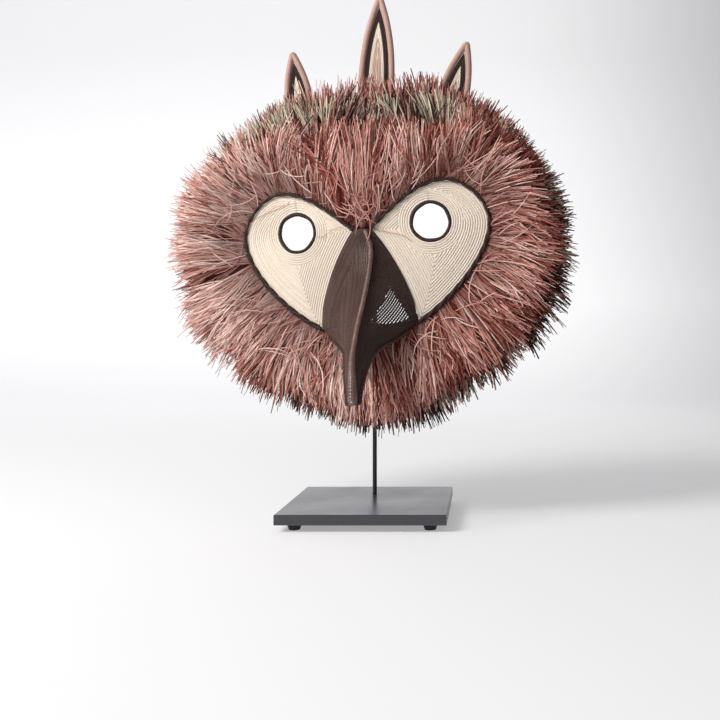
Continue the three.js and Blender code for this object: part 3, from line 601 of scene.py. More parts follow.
# The face
face = {
    "halfWidth": 115.5, "height": 127, "sideDrop": 12, "lowerDrop": 8, "thickness": 2.6,
    "innerTip": (0.065, -0.02), "top": (0.667, 0.287), "outer": (1, -0.024), "lowerTip": (0.39, -0.713),
    "eye": (0.541, -0.006), "middleDrop": 0.276, "chinDrop": 0.748,
    "holeRadius": 18.6, "rowPitch": 2.15, "holeRows": 5, "rowStep": 1.6,
}
eyeCord = {"radius": 1.75, "inset": 1.3, "wrap": (1.5, 0.2), "waver": 0.35}
cheekCord = {
    "ply": 0.95, "twist": 0.7, "swell": [1.25, 1, 0.9, 1.3, 1.45], "pitch": 26, "inset": 0.6, "lift": 1.3,
    "from": 0.002, "to": 0.996, "wrap": (1.1, 0.12),
}
sideName = {-1: "left", 1: "right"}


def faceForward(across, up):
    side, below = across / face["halfWidth"], up / face["height"]
    return -face["sideDrop"] * side * side - face["lowerDrop"] * below * below


def faceNormal(flat):
    across, up = flat[:, 0], flat[:, 1]
    slopeAcross = -2 * face["sideDrop"] * across / face["halfWidth"] ** 2
    slopeUp = -2 * face["lowerDrop"] * up / face["height"] ** 2
    return unit(np.stack([-slopeAcross, -slopeUp, np.ones_like(across)], -1))


def onFace(flat, behind=0.0):  # flat points of the face, as points of the mask
    across, up = flat[:, 0], flat[:, 1]
    return np.stack([across, up, faceForward(across, up) - behind], 1)


def lobeCurves(count=300):
    size = np.array([face["halfWidth"], face["height"]])
    inner, top, outer, lower = (np.array(face[k]) for k in ("innerTip", "top", "outer", "lowerTip"))

    def curve(*corners):
        return bezier(*(corner * size for corner in corners), count)

    return {
        "upper": curve(inner, inner + (0.21, 0.16), top + (-0.21, 0), top),
        "end": curve(top, top + (0.16, 0), outer + (0, 0.14), outer),
        "lower": curve(outer, outer + (0, -0.27), lower + (0.19, 0.08), lower),
        "beakSide": curve(lower, lower + (-0.01, 0.24), inner + (0.12, -0.125), inner),
    }


lobe = lobeCurves()
eyeCentre = np.array([face["eye"][0] * face["halfWidth"], face["eye"][1] * face["height"]])


def goodRuns(good, least):  # where each stretch of good ones starts and stops, if it has more than least
    edges = np.flatnonzero(np.diff(np.concatenate([[0], good.astype(int), [0]])))
    return [(a, b) for a, b in zip(edges[::2], edges[1::2]) if b - a > least]


def splitRuns(points, good):  # the stretches of a closed line of points that are good
    if good.all():
        return [(points, True)]
    start = int(np.argmin(good))
    points, good = np.roll(points, -start, 0), np.roll(good, -start)
    return [(points[a:b], False) for a, b in goodRuns(good, 6)]


def nestedRows(outline, pitch, keep):
    # rows parallel to an outline, cut where they meet the rows from the other side
    tangent = unit(np.roll(outline, -1, 0) - np.roll(outline, 1, 0))
    inward = np.stack([-tangent[:, 1], tangent[:, 0]], 1)
    x, y = outline.T
    if np.sum(x * np.roll(y, -1) - y * np.roll(x, -1)) < 0:
        inward = -inward
    rows, depth = [], pitch / 2
    while True:
        shifted = outline + inward * depth
        gap = np.sqrt(((shifted[:, None] - outline[None]) ** 2).sum(2).min(1))
        good = (gap > depth - 0.3 * pitch) & keep(shifted)
        if not good.any():
            return rows
        rows += splitRuns(shifted, good)
        depth += pitch


def makeCheek(side):
    pile = Pile()
    edges = np.vstack([lobe[k][1:] for k in ("upper", "end", "lower", "beakSide")])
    outline = resample(edges, count=1100, closed=True)
    pitch, hole = face["rowPitch"], face["holeRadius"]
    ringed = hole + face["holeRows"] * pitch
    half = (pitch / 2 * 1.08, face["thickness"] / 2)
    rows = nestedRows(outline, pitch, lambda p: np.linalg.norm(p - eyeCentre, axis=1) > ringed)
    turns = np.linspace(0, 2 * math.pi, 400, endpoint=False)
    circle = np.stack([np.sin(turns), np.cos(turns)], 1)
    rows += [(eyeCentre + circle * (hole + (k + 0.5) * pitch), True) for k in range(face["holeRows"])]
    for flat, closed in rows:
        flat = resample(flat, spacing=face["rowStep"], closed=closed)
        if len(flat) < 4:
            continue
        flat = flat * (side, 1)
        path, tone = onFace(flat, half[1]), rng.uniform(0, 0.84)
        sweep(pile, path, faceNormal(flat), half, 6, closed=closed, tone=tone)
    rim = resample(outline, count=160, closed=True)
    out = unit(rim - eyeCentre)
    sheet = []
    for behind in (half[1] - 0.5, half[1] + 0.5):
        for share in (np.linspace(0, 1, 7) if behind < half[1] else np.linspace(1, 0, 7)):
            flat = (eyeCentre + out * (hole + 0.3)) * (1 - share) + (rim - out * 0.4) * share
            sheet.append(onFace(flat * (side, 1), behind))
    quads = gridQuads(len(sheet), len(rim), True, True)
    pile.add(np.vstack(sheet), quads[:, ::-1] if side > 0 else quads, tone=0.8)
    which = sideName[side]
    makePiece(f"cheek_coils_{which}", pile, coils["creamCoil"], [f"cheek_{which}"])


def makeEyeCord(side):
    pile = Pile()
    turns = np.linspace(0, 2 * math.pi, 420, endpoint=False)
    waver = (np.sin(turns * 3 + side) + 0.5 * np.sin(turns * 7 + 2))[:, None]
    radius = face["holeRadius"] - eyeCord["inset"] + eyeCord["waver"] * waver
    flat = (eyeCentre + radius * np.stack([np.sin(turns), np.cos(turns)], 1)) * (side, 1)
    path, half = onFace(flat, face["thickness"] / 2), (eyeCord["radius"],) * 2
    sweep(pile, path, faceNormal(flat), half, 10, eyeCord["wrap"], closed=True, tone=0.45)
    which = sideName[side]
    makePiece(f"eye_wrap_{which}", pile, coils["darkWrap"], [f"eye_cord_{which}"])


def twistTwo(pile, path, out, cord, tone):  # a cord of two wrapped plies laid round each other
    share = np.linspace(0, 1, len(path))
    grow = np.interp(share, [0, 0.25, 0.5, 0.62, 1], cord["swell"])
    side, lift = squareTo(unit(np.gradient(path, axis=0)), out)
    turn = runAlong(path)[:, None] / cord["pitch"] * 2 * math.pi
    for start in (0, math.pi):
        away = side * np.cos(turn + start) + lift * np.sin(turn + start)
        ply, radii = path + away * cord["twist"] * grow[:, None], (cord["ply"] * grow,) * 2
        sweep(pile, ply, out, radii, 7, cord["wrap"], tone=tone + 0.2 * (start > 0))


def makeCheekCord(side):
    pile = Pile()
    edge = resample(np.vstack([lobe[k] for k in ("upper", "end", "lower")]), spacing=0.3)
    edge = edge[int(cheekCord["from"] * len(edge)):int(cheekCord["to"] * len(edge))]
    tangent = unit(np.gradient(edge, axis=0))
    flat = (edge + np.stack([tangent[:, 1], -tangent[:, 0]], 1) * cheekCord["inset"]) * (side, 1)
    twistTwo(pile, onFace(flat, -cheekCord["lift"]), faceNormal(flat), cheekCord, 0.3)
    which = sideName[side]
    makePiece(f"cheek_wrap_{which}", pile, coils["darkWrap"], [f"cheek_cord_{which}"])


for side in (-1, 1):
    makeCheek(side)
    makeEyeCord(side)
    makeCheekCord(side)
print("face woven")

# The beak: rows of fine coil that run down both panels, from the edges and from the ridge
beak = {
    "length": 157, "reach": 71, "swell": 5, "swellShare": 0.12, "corner": 0.58, "gap": 0.4, "lap": 1.3,
    "ridge": [
        (0.026, 0.02, 0.06), (0.06, 0.14, 0.11), (0.058, 0.28, 0.24), (0.04, 0.45, 0.45),
        (0.018, 0.61, 0.66), (0.005, 0.77, 0.84), (0.012, 0.9, 0.95), (0.016, 1, 1),
    ],
    "free": [
        (0.17, 0.66, 0.2), (0.1, 0.71, 0.44), (0.07, 0.775, 0.64), (0.05, 0.875, 0.82), (0.031, 1.0, 0.94),
    ],
    # tones: rows on the left panel are light and those on the right dark, painted light and shade as from the
    # light on the left
    "rowPitch": 1.65, "thickness": 2.0, "tones": ((0.5, 1), (0, 0.16)), "stations": 121, "liningColumns": 29,
    "ridgeCord": 2.2, "ridgeRun": (0.015, 1), "ridgeWrap": (1.35, 0.13),
    "ridgeGrown": ((0, 0.7, 0.84, 0.97, 0.99, 1), (1, 1, 1.45, 1.9, 1.75, 1.3)),
    "lipCord": 1.8, "lipRun": (0.13, 0.99), "lipWrap": (1.7, 0.13),
}


def beakPoint(share):
    across, down, forward = share
    return across * beak["length"], -down * beak["length"], forward * beak["reach"]


ridgeCurve = smoothCurve([beakPoint(p) for p in beak["ridge"]], 400)
lowerTip = np.array(face["lowerTip"]) * (face["halfWidth"], face["height"])
freeStart = (lowerTip[0] - beak["gap"], lowerTip[1], faceForward(*lowerTip))
freeCurve = smoothCurve([freeStart, *[beakPoint(p) for p in beak["free"]]], 400)


def pick(curve, shares):  # points of an evenly spaced curve at shares of its length
    places = np.linspace(0, 1, len(curve))
    return np.stack([np.interp(shares, places, curve[:, k]) for k in range(curve.shape[1])], 1)


def beakPanel(side, stations):  # the panel's edge, bend and ridge lines, from the notch to the tip
    s = np.linspace(0, 1, stations)
    upper, lower = np.clip(s * 2, 0, 1), np.clip(s * 2 - 1, 0, 1)
    flat = pick(lobe["beakSide"][::-1], upper) - (beak["gap"], 0)
    edge = np.where((s < 0.5)[:, None], onFace(flat), pick(freeCurve, lower))
    lap = np.interp(s, [0, 0.4, 0.5], [beak["lap"], beak["lap"], 0])
    edge = edge + np.stack([lap * (edge[:, 0] > 4), 0 * lap, 0.6 * lap], 1)
    corner = beak["corner"]
    top = pick(ridgeCurve, np.where(s < 0.5, upper * corner, corner + lower * (1 - corner)))
    swell = np.minimum(beak["swell"], edge[:, 0] * beak["swellShare"])[:, None]
    edge = edge * (side, 1, 1)
    bend = (edge + top) / 2 + swell * np.array([side, 0, 1]) / math.sqrt(2)
    return edge, bend, top


def onBeak(panel, side, t):  # points and outward normals at shares t from the edge to the ridge
    edge, bend, top = panel
    t = np.broadcast_to(t, len(edge))[:, None]
    point = (1 - t) ** 2 * edge + 2 * (1 - t) * t * bend + t * t * top
    lines = (((1 - t) ** 2, edge), (2 * (1 - t) * t, bend), (t * t, top))
    down = sum(weight * np.gradient(line, axis=0) for weight, line in lines)
    over = 2 * (1 - t) * (bend - edge) + 2 * t * (top - bend)
    return point, -side * unit(np.cross(down, over))


# Where the right panel is woven open, as (share down the beak, share from the edge to the ridge)
openPatch = {
    "side": 1, "top": (0.306, 0.48), "left": (0.499, 0.86), "right": (0.49, 0.12),
    "pitch": 2.45, "rod": 0.87, "meet": 0.25, "stitch": 0.32, "stitchStep": 2.4,
}


def insideTriangle(p, a, b, c):
    a, b, c = (np.array(q, float) for q in (a, b, c))

    def turn(u, v):
        return (v[0] - u[0]) * (p[..., 1] - u[1]) - (v[1] - u[1]) * (p[..., 0] - u[0])

    signs = np.stack([turn(a, b), turn(b, c), turn(c, a)])
    return (signs > 0).all(0) | (signs < 0).all(0)


def inPatch(side, s, t):
    if side != openPatch["side"]:
        return np.zeros(np.broadcast(s, t).shape, bool)
    p = np.stack(np.broadcast_arrays(s, t), -1)
    return insideTriangle(p, openPatch["top"], openPatch["left"], openPatch["right"])


def makeBeak():
    pile = Pile()
    count = beak["stations"]
    s = np.linspace(0, 1, count)
    half = (beak["rowPitch"] / 2 * 1.1, beak["thickness"] / 2)
    for side in (-1, 1):
        panel = beakPanel(side, count)
        edge, bend, top = panel
        width = np.linalg.norm(edge - bend, axis=1) + np.linalg.norm(bend - top, axis=1)
        for fromRidge in (False, True):
            row = 0
            while True:
                distance = (row + 0.5) * beak["rowPitch"]
                share = distance / width
                good = share < 0.5 + 0.35 * beak["rowPitch"] / width
                if not good.any():
                    break
                t = np.clip(1 - share if fromRidge else share, 0, 1)
                point, normal = onBeak(panel, side, t)
                good &= ~inPatch(side, s, t)
                # painted light and shade: the left panel's rows get light tones, the right panel's dark ones
                tone = rng.uniform(*beak["tones"][side > 0])
                for a, b in goodRuns(good, 3):
                    sweep(pile, (point - normal * half[1])[a:b], normal[a:b], half, 6, tone=tone)
                row += 1
    addBeakShell(pile, half[1])
    addOpenWeave(pile)
    makePiece("beak_coils", pile, coils["brownCoil"], ["beak"])


def addBeakShell(pile, depth):  # the thin lining that the rows are sewn to, open where the weave is open
    count = beak["stations"]
    s = np.linspace(0, 1, count)
    t = np.linspace(0, 1, beak["liningColumns"])
    outer, inner, solid = [], [], []
    for side in (-1, 1):
        panel = beakPanel(side, count)
        order = t if side < 0 else t[::-1][1:]
        for share in order:
            point, normal = onBeak(panel, side, share)
            outer.append(point - normal * (depth - 0.35))
            inner.append(point - normal * (depth + 0.35))
            solid.append(~inPatch(side, s, share))
    outer, inner, solid = np.stack(outer, 1), np.stack(inner, 1), np.stack(solid, 1)
    rows, cols = solid.shape
    cell = solid[:-1, :-1] & solid[1:, :-1] & solid[:-1, 1:] & solid[1:, 1:]
    index = np.arange(rows * cols).reshape(rows, cols)
    i, j = np.nonzero(cell)
    front = np.stack([index[i, j], index[i + 1, j], index[i + 1, j + 1], index[i, j + 1]], 1)
    back = front[:, ::-1] + rows * cols
    walls = []
    padded = np.pad(cell, 1)
    ways = (  # the step to the next cell each way, and the two corners on that side
        ((-1, 0), (0, 0), (0, 1)), ((1, 0), (1, 1), (1, 0)),
        ((0, -1), (1, 0), (0, 0)), ((0, 1), (0, 1), (1, 1)),
    )
    for (down, over), a, b in ways:
        beside = padded[1 + down:1 + down + cell.shape[0], 1 + over:1 + over + cell.shape[1]]
        i, j = np.nonzero(cell & ~beside)
        p, q = index[i + a[0], j + a[1]], index[i + b[0], j + b[1]]
        walls.append(np.stack([p, q, q + rows * cols, p + rows * cols], 1))
    points = np.vstack([outer.reshape(-1, 3), inner.reshape(-1, 3)])
    used = np.unique(np.concatenate([front.ravel(), back.ravel()]))
    lookup = np.full(len(points), -1)
    lookup[used] = np.arange(len(used))
    quads = lookup[np.vstack([front, back, *walls])]
    pile.add(points[used], quads, tone=0.2)


def addOpenWeave(pile):  # slanting coils with spaces between their stitches, through which light shows
    side = openPatch["side"]
    count = 241
    panel = beakPanel(side, count)

    def spot(p):  # the point and normal at a share down the beak and a share from the edge to the ridge
        where, steps = p[0] * (count - 1), np.arange(count)
        lines = onBeak(panel, side, p[1])
        return [np.array([np.interp(where, steps, line[:, k]) for k in range(3)]) for line in lines]

    corners = [np.array(openPatch[k]) for k in ("top", "left", "right")]
    a, b, c = (spot(p)[0] for p in corners)
    x = unit(a + openPatch["meet"] * (c - a) - b)
    z = unit(np.cross(c - b, a - b))
    y = np.cross(z, x)
    flat = np.array([[(p - b) @ x, (p - b) @ y] for p in (a, b, c)])
    low, high = flat[:, 1].min(), flat[:, 1].max()
    rows = np.arange(low + openPatch["pitch"] / 2, high, openPatch["pitch"])

    def span(level):
        hits = []
        for p, q in ((0, 1), (1, 2), (2, 0)):
            u, v = flat[p], flat[q]
            if (u[1] - level) * (v[1] - level) < 0:
                hits.append(u[0] + (v[0] - u[0]) * (level - u[1]) / (v[1] - u[1]))
        return (min(hits), max(hits)) if len(hits) == 2 else None

    matrix = np.vstack([flat.T, np.ones(3)])

    def lift(px, py):
        weights = np.linalg.solve(matrix, np.array([px, py, 1]))
        return spot(sum(w * p for w, p in zip(weights, corners)))

    def lay(spots, radius, sides, tone):
        path = np.array([point - normal * beak["thickness"] / 2 for point, normal in spots])
        sweep(pile, path, np.array([normal for _, normal in spots]), (radius, radius), sides, tone=tone)

    reach = 1.6  # how far each row runs on under the closed weave
    for level in rows:
        found = span(level)
        if not found:
            continue
        ends = np.linspace(found[0] - reach, found[1] + reach, max(4, int((found[1] - found[0]) / 2.5)))
        lay([lift(px, level) for px in ends], openPatch["rod"], 7, rng.uniform(0, 0.6))
        for px in np.arange(found[0] + rng.uniform(0, 1), found[1], openPatch["stitchStep"]):
            leans = ((0, -0.1), (0.35, 0.5), (0.7, 1.1))
            pair = [lift(px + lean, level + rise * openPatch["pitch"]) for lean, rise in leans]
            lay(pair, openPatch["stitch"], 5, rng.uniform(0.2, 0.9))


def makeRidgeCord():
    pile = Pile()
    shares = np.linspace(*beak["ridgeRun"], 700)
    line = pick(ridgeCurve, shares)
    tangent = unit(np.gradient(line, axis=0))
    out = unit(np.stack([np.zeros(len(line)), tangent[:, 2], -tangent[:, 1]], 1))
    grown = np.interp(shares, *beak["ridgeGrown"])
    path = line + out * (beak["ridgeCord"] * (0.6 + 0.4 * grown) + 0.2)[:, None]
    sweep(pile, path, out, (beak["ridgeCord"] * grown,) * 2, 12, beak["ridgeWrap"], tone=0.75)
    makePiece("beak_ridge_wrap", pile, coils["ridgeWrap"], ["beak_ridge_cord"])


def makeLipCord(side):
    pile = Pile()
    line = resample(pick(freeCurve, np.linspace(*beak["lipRun"], 300)), spacing=0.34) * (side, 1, 1)
    drop = beak["lipCord"] * 0.7
    path = line + (0, -drop, -drop)
    sweep(pile, path, (0, 0, 1), (beak["lipCord"],) * 2, 10, beak["lipWrap"], tone=0.3)
    which = sideName[side]
    makePiece(f"beak_lip_wrap_{which}", pile, coils["brownCoil"], [f"beak_lip_cord_{which}"])


makeBeak()
makeRidgeCord()
for side in (-1, 1):
    makeLipCord(side)
print("beak woven")

# The hood that carries everything
hood = {
    "depth": 97, "chinDepth": 46, "wall": 4, "seam": 8, "crownFlare": 18, "chinFlare": 8, "cord": 2.4,
    "shares": [0.493, 0.51, 0.596, 0.6, 0.484, 0.403, 0.375], "rowPitch": 5.2, "rowDepth": 0.8,
    "columns": 160, "cordSteps": 1500, "cordWrap": (2.6, 0.14),
}
fringe = {
    "radius": 203, "gap": 2, "lip": 0.5, "near": 7.2, "far": 6.8, "tipFall": 0.6, "arch": 122, "rowGap": 0.7,
    "clearRun": 14, "overMost": 11,
    "left": [0.926, 1, 0.995, 0.922, 0.795, 0.71, 0.749],
    "right": [0.926, 0.966, 0.941, 0.9, 0.785, 0.715, 0.749],
    "short": {
        "front": [46, 38, 7, 3, 3, 5, 5], "middle": [24, 17, 5, 3, 2, 2, 2], "back": [4, 4, 5, 6, 8, 8, 8],
    },
    "splits": [
        {"root": (0.28, 0.3), "tip": (0.31, 0.48)},
        {"root": (0.5, 0.92), "tip": (0.557, 1)},
        {"root": (0.84, 0.92), "tip": (0.866, 1)},
    ],
}
faceMiddle = -face["middleDrop"] * face["height"]


def readEvery30(values, turn):  # smoothly from values at every 30 degrees from the crown to the chin
    values = np.asarray(values, float)
    along = np.abs(turn) / math.pi * (len(values) - 1)
    i = np.minimum(len(values) - 2, np.floor(along)).astype(int)
    t = along - i
    spread = np.concatenate([values[1:2], values, values[-2:-1]])
    p0, p1, p2, p3 = (spread[i + k] for k in range(4))
    second, third = 2 * p0 - 5 * p1 + 4 * p2 - p3, 3 * p1 - p0 - 3 * p2 + p3
    return 0.5 * (2 * p1 + (p2 - p0) * t + second * t ** 2 + third * t ** 3)


def faceReachTable():
    notch, chin = (0, lobe["upper"][0, 1]), (0, -face["chinDrop"] * face["height"])
    outline = np.vstack([[notch], lobe["upper"], lobe["end"], lobe["lower"], [chin]])
    away = outline - (0, faceMiddle)
    turns = np.maximum.accumulate(np.arctan2(away[:, 0], away[:, 1]))
    return turns, np.linalg.norm(away, axis=1)


reachTurns, reachRadii = faceReachTable()


def faceRadius(turn):
    return np.interp(np.abs(turn), reachTurns, reachRadii)


def byPlace(crown, chin, turn):  # from its value at the crown to its value at the chin
    return crown + (chin - crown) * (1 - np.cos(turn)) / 2


def outlineRadius(turn):
    left, right = (readEvery30(fringe[half], turn) for half in ("left", "right"))
    return np.where(turn < 0, left, right) * fringe["radius"]


def depthAt(turn):
    return byPlace(hood["depth"], hood["chinDepth"], turn)


def hoodFront(turn):
    return np.maximum(readEvery30(hood["shares"], turn) * fringe["radius"], faceRadius(turn) + hood["wall"])


def hoodBack(turn):
    return hoodFront(turn) + byPlace(hood["crownFlare"], hood["chinFlare"], turn)


def polar(turn, radius, forward):
    turn, radius, forward = np.broadcast_arrays(turn, radius, forward)
    return np.stack([radius * np.sin(turn), faceMiddle + radius * np.cos(turn), forward], -1)


def surfaceAt(turn, radius):
    return faceForward(radius * np.sin(turn), faceMiddle + radius * np.cos(turn))


def flangeForward(turn, radius):
    return surfaceAt(turn, radius) - face["thickness"] - beak["gap"]


def hoodStart(turn):
    return flangeForward(turn, hoodFront(turn))


def hoodRadius(turn, forward):
    share = (hoodStart(turn) - forward) / (hoodStart(turn) + depthAt(turn))
    return hoodFront(turn) + (hoodBack(turn) - hoodFront(turn)) * share


def makeHood():
    turns = np.linspace(-math.pi, math.pi, hood["columns"], endpoint=False)
    inner, front, back = faceRadius(turns) - hood["seam"], hoodFront(turns), hoodBack(turns)
    depth, start, wall = -depthAt(turns), hoodStart(turns), hood["wall"]
    corners = [
        (inner, flangeForward(turns, inner)), (front, start), (back, depth), (back - wall, depth),
        (front - wall, start - wall), (inner, flangeForward(turns, inner) - wall),
    ]
    ring = []
    for (r0, f0), (r1, f1) in zip(corners, corners[1:] + corners[:1]):
        length = float(np.hypot(r1 - r0, f1 - f0).mean())
        steps = max(1, int(length / hood["rowPitch"] * 6))
        across = np.stack([r1 - r0, f1 - f0], -1)
        normal = unit(np.stack([-across[:, 1], across[:, 0]], -1))
        rows = max(1, round(length / hood["rowPitch"]))
        for k in range(steps):
            share = k / steps
            ridge = hood["rowDepth"] * (abs(math.sin(math.pi * share * rows)) - 0.8) if steps > 3 else -0.4
            radius = r0 + (r1 - r0) * share + normal[:, 0] * ridge
            forward = f0 + (f1 - f0) * share + normal[:, 1] * ridge
            ring.append(polar(turns, radius, forward))
    points = np.stack(ring, 1)
    pile = Pile()
    along = np.repeat(turns * 100, points.shape[1])
    tone = np.tile(np.floor(np.arange(points.shape[1]) / 6) * 0.37 % 1, len(turns))
    pile.add(points.reshape(-1, 3), gridQuads(*points.shape[:2], True, True), along=along, tone=tone)
    makePiece("hood_coils", pile, coils["hoodCoil"], ["hood"])
    pile = Pile()
    turns = np.linspace(-math.pi, math.pi, hood["cordSteps"], endpoint=False)
    path = polar(turns, hoodBack(turns) - wall / 2, -depthAt(turns) - 0.3 - hood["cord"])
    sweep(pile, path, (0, 0, 1), (hood["cord"],) * 2, 8, hood["cordWrap"], closed=True, tone=0.4)
    makePiece("hood_back_wrap", pile, coils["darkWrap"], ["hood_back_cord"])


makeHood()
print("hood woven")

# The fringe: three rows of cut palm fibre, thousands of strands over a dense body painted dark as shade
strandShape = {"segments": 4, "thickness": 0.42, "taper": ([0, 0.15, 0.75, 1], [0.7, 1, 1, 0.5])}
fringeBody = {"short": 15, "near": 0.3, "far": {"front": 0.6, "middle": 0.76, "back": 0.76}, "run": 90}
fringeRows = {
    "front": {
        "count": 10400, "crowd": 1.5, "slot": "pink_fibre", "kinds": None, "width": (0.85, 2.0), "behind": 0,
        "layers": 4, "locks": 104, "lockTilt": 0.08, "lockBow": 0.05, "lockLong": 6, "lockLift": 3.4,
        "tilt": 0.055, "bow": 0.035, "shortShare": 0.38, "lift": 1.6, "over": 6,
        "gather": 0.34, "droop": 7, "fan": 1.0,
        "shorter": {
            "turn": [-180, -155, -140, -115, -65, -38, -12, 0, 12, 38, 55, 80, 100, 120, 145, 165, 180],
            "by": [9, 13, 14, 3, 5, 19, 19, 16, 18, 17, 8, 11, 16, 19, 18, 12, 9],
        },
    },
    "middle": {
        "count": 5600, "crowd": 1.0, "slot": "dark_fibre", "width": (1.0, 2.3), "behind": 0.12,
        "kinds": {
            "turn": [-180, -120, -60, -38, -12, 0, 12, 38, 60, 100, 135, 180],
            "dark": [0.5, 0.46, 0.36, 0.22, 0.3, 0.40, 0.36, 0.32, 0.48, 0.6, 0.46, 0.56],
            "cream": [0.12, 0.08, 0.36, 0.72, 0.6, 0.4, 0.5, 0.54, 0.3, 0.16, 0.34, 0.15],
        },
        "layers": 3, "locks": 132, "lockTilt": 0.075, "lockBow": 0.04, "lockLong": 4.5, "lockLift": 1.2,
        "tilt": 0.05, "bow": 0.02, "shortShare": 0.08, "lift": 1.0, "over": 4.5,
        "gather": 0.8, "droop": 5, "fan": 0.6,
        "shorter": {"turn": [-180, -72, -50, -18, -6, 48, 72, 180], "by": [0, 0, 2, 4, 9, 9, 0, 0]},
    },
    "back": {
        "count": 3900, "crowd": 1.0, "slot": "pink_fibre", "kinds": None, "width": (0.9, 2.0), "behind": 0.3,
        "layers": 3, "locks": 110, "lockTilt": 0.05, "lockBow": 0.03, "lockLong": 2.5, "lockLift": 1.2,
        "tilt": 0.05, "bow": 0.02, "shortShare": 0.1, "lift": 1.2, "over": 2.5,
        "gather": 0.55, "droop": 5, "fan": 0.6,
        "shorter": {"turn": [-180, 180], "by": [0, 0]},
    },
}
looseEnds = {
    "count": 170, "width": (0.6, 1.1), "length": (18, 38), "aside": 0.5, "curl": 0.6, "run": 60.0,
    "spread": (0.1, 0.6), "lift": (0, 3), "tones": (0.6, 0.95), "taper": ([0, 0.2, 0.8, 1], [0.6, 1, 1, 0.5]),
}
curlShape = {
    "points": 14, "width": 0.95, "thin": 0.5, "thinBelow": 4, "jitter": 0.6, "run": 50.0, "tone": 0.72,
}
# How light the pink strands are dyed, which varies at random; deeper ones and those on the right are darker
# as painted shade, and a few are odd ones
pinkTones = {
    "mean": 0.74, "spread": 0.19, "lock": 0.12, "depthShade": 0.6, "right": 0.15,
    "odd": 0.02, "range": (0.02, 0.95),
}


def splitForward(split, turn, radius):
    root = hoodStart(turn) - depthAt(turn) * byPlace(*split["root"], turn)
    tip = -depthAt(turn) * byPlace(*split["tip"], turn)
    rootRadius = hoodRadius(turn, root)
    share = (radius - rootRadius) / (outlineRadius(turn) - rootRadius)
    return root + (tip - root) * share


def rowBounds(row, turn, radius):  # how far forward a row's front and back lie, at a turn and radius
    order, rowGap = list(fringeRows).index(row), fringe["rowGap"]
    behind = splitForward(fringe["splits"][order], turn, radius) + rowGap
    if row != "front":
        return splitForward(fringe["splits"][order - 1], turn, radius) - rowGap, behind
    inner = faceRadius(turn) + fringe["gap"]
    edge = surfaceAt(turn, inner)
    reach = outlineRadius(turn) - readEvery30(fringe["short"]["front"], turn)
    tip = edge * fringe["tipFall"]
    share = np.clip((radius - inner) / (reach - inner), 0, 1.3)
    knots = (edge + fringe["lip"], edge + fringe["near"], tip + fringe["far"], tip)
    near = knots[0] + (knots[1] - knots[0]) * share * 3
    middle = knots[1] + (knots[2] - knots[1]) * (share * 3 - 1)
    far = knots[2] + (knots[3] - knots[2]) * (share * 3 - 2)
    front = np.where(share < 1 / 3, near, np.where(share < 2 / 3, middle, far))
    wall = hoodFront(turn)
    clear = np.clip((radius - wall) / fringe["clearRun"], 0, 1)
    back = flangeForward(turn, np.minimum(radius, wall)) + 0.5
    back = back + (behind - back) * clear
    return front, np.minimum(back, front - 1)


def rowRoot(row, turn):  # the least radius at which a row's strands start
    if row == "front":
        return faceRadius(turn) + fringe["gap"] / 2
    split = fringe["splits"][0 if row == "middle" else 1]
    return hoodRadius(turn, hoodStart(turn) - depthAt(turn) * byPlace(*split["root"], turn)) + 0.5


def growStrands(pile, path, width, flat, along, tone):
    # closed three-sided ribbons through path (strands, rings, 3), as wide as width, facing about as flat says
    count, rings = path.shape[:2]
    side, lift = squareTo(unit(np.gradient(path, axis=1)), flat[:, None])
    half = width[..., None] / 2
    thick = strandShape["thickness"]
    ring = np.stack([path - side * half, path + side * half, path + lift * thick], 2)
    points = ring.reshape(-1, 3)
    base = np.arange(count)[:, None] * rings * 3
    one = gridQuads(rings, 3, False, True)
    quads = (base[:, :, None] + one[None]).reshape(-1, 4)
    ends = np.array([[0, 1, 2], [(rings - 1) * 3 + 2, (rings - 1) * 3 + 1, (rings - 1) * 3]])
    tris = (base[:, :, None] + ends[None]).reshape(-1, 3)
    pile.add(points, quads, tris, np.repeat(along.ravel(), 3), np.repeat(tone, rings * 3))


def pickTones(look, turn, depth, lockShade):
    kinds = look["kinds"]
    if kinds is None:
        # painted shade: strands deep in the fringe, and those on the right away from the light, get darker
        # tones
        depthShade = np.minimum(depth, 6 * (1 - depth))
        tone = rng.normal(pinkTones["mean"], pinkTones["spread"], len(turn)) + lockShade
        tone = tone - pinkTones["depthShade"] * depthShade - pinkTones["right"] * np.sin(turn)
        return np.where(rng.random(len(turn)) < pinkTones["odd"], 1.0, np.clip(tone, *pinkTones["range"]))
    dark = np.interp(np.degrees(turn), kinds["turn"], kinds["dark"])
    cream = np.interp(np.degrees(turn), kinds["turn"], kinds["cream"])
    draw = np.clip(rng.random(len(turn)) * 0.55 + 0.225 + 2.4 * lockShade, 0, 1)  # the kinds come in bunches
    spread = rng.random(len(turn))
    lighter = np.where(draw > 1 - cream, 0.73 + 0.27 * spread, 0.53 + 0.17 * spread)
    return np.where(draw < dark, spread * 0.5, lighter)


def strandTurns(row, count):
    turns = np.linspace(-math.pi, math.pi, 2001)
    if row == "back":
        turns = turns[np.abs(turns) < math.radians(fringe["arch"])]
    total = np.cumsum(rowRoot(row, turns) + outlineRadius(turns))
    return np.interp((np.arange(count) + rng.random(count)) / count * total[-1], total, turns)


def rowReach(row, look, turn):
    shorter = np.interp(np.degrees(turn), look["shorter"]["turn"], look["shorter"]["by"])
    return outlineRadius(turn) - readEvery30(fringe["short"][row], turn) - shorter


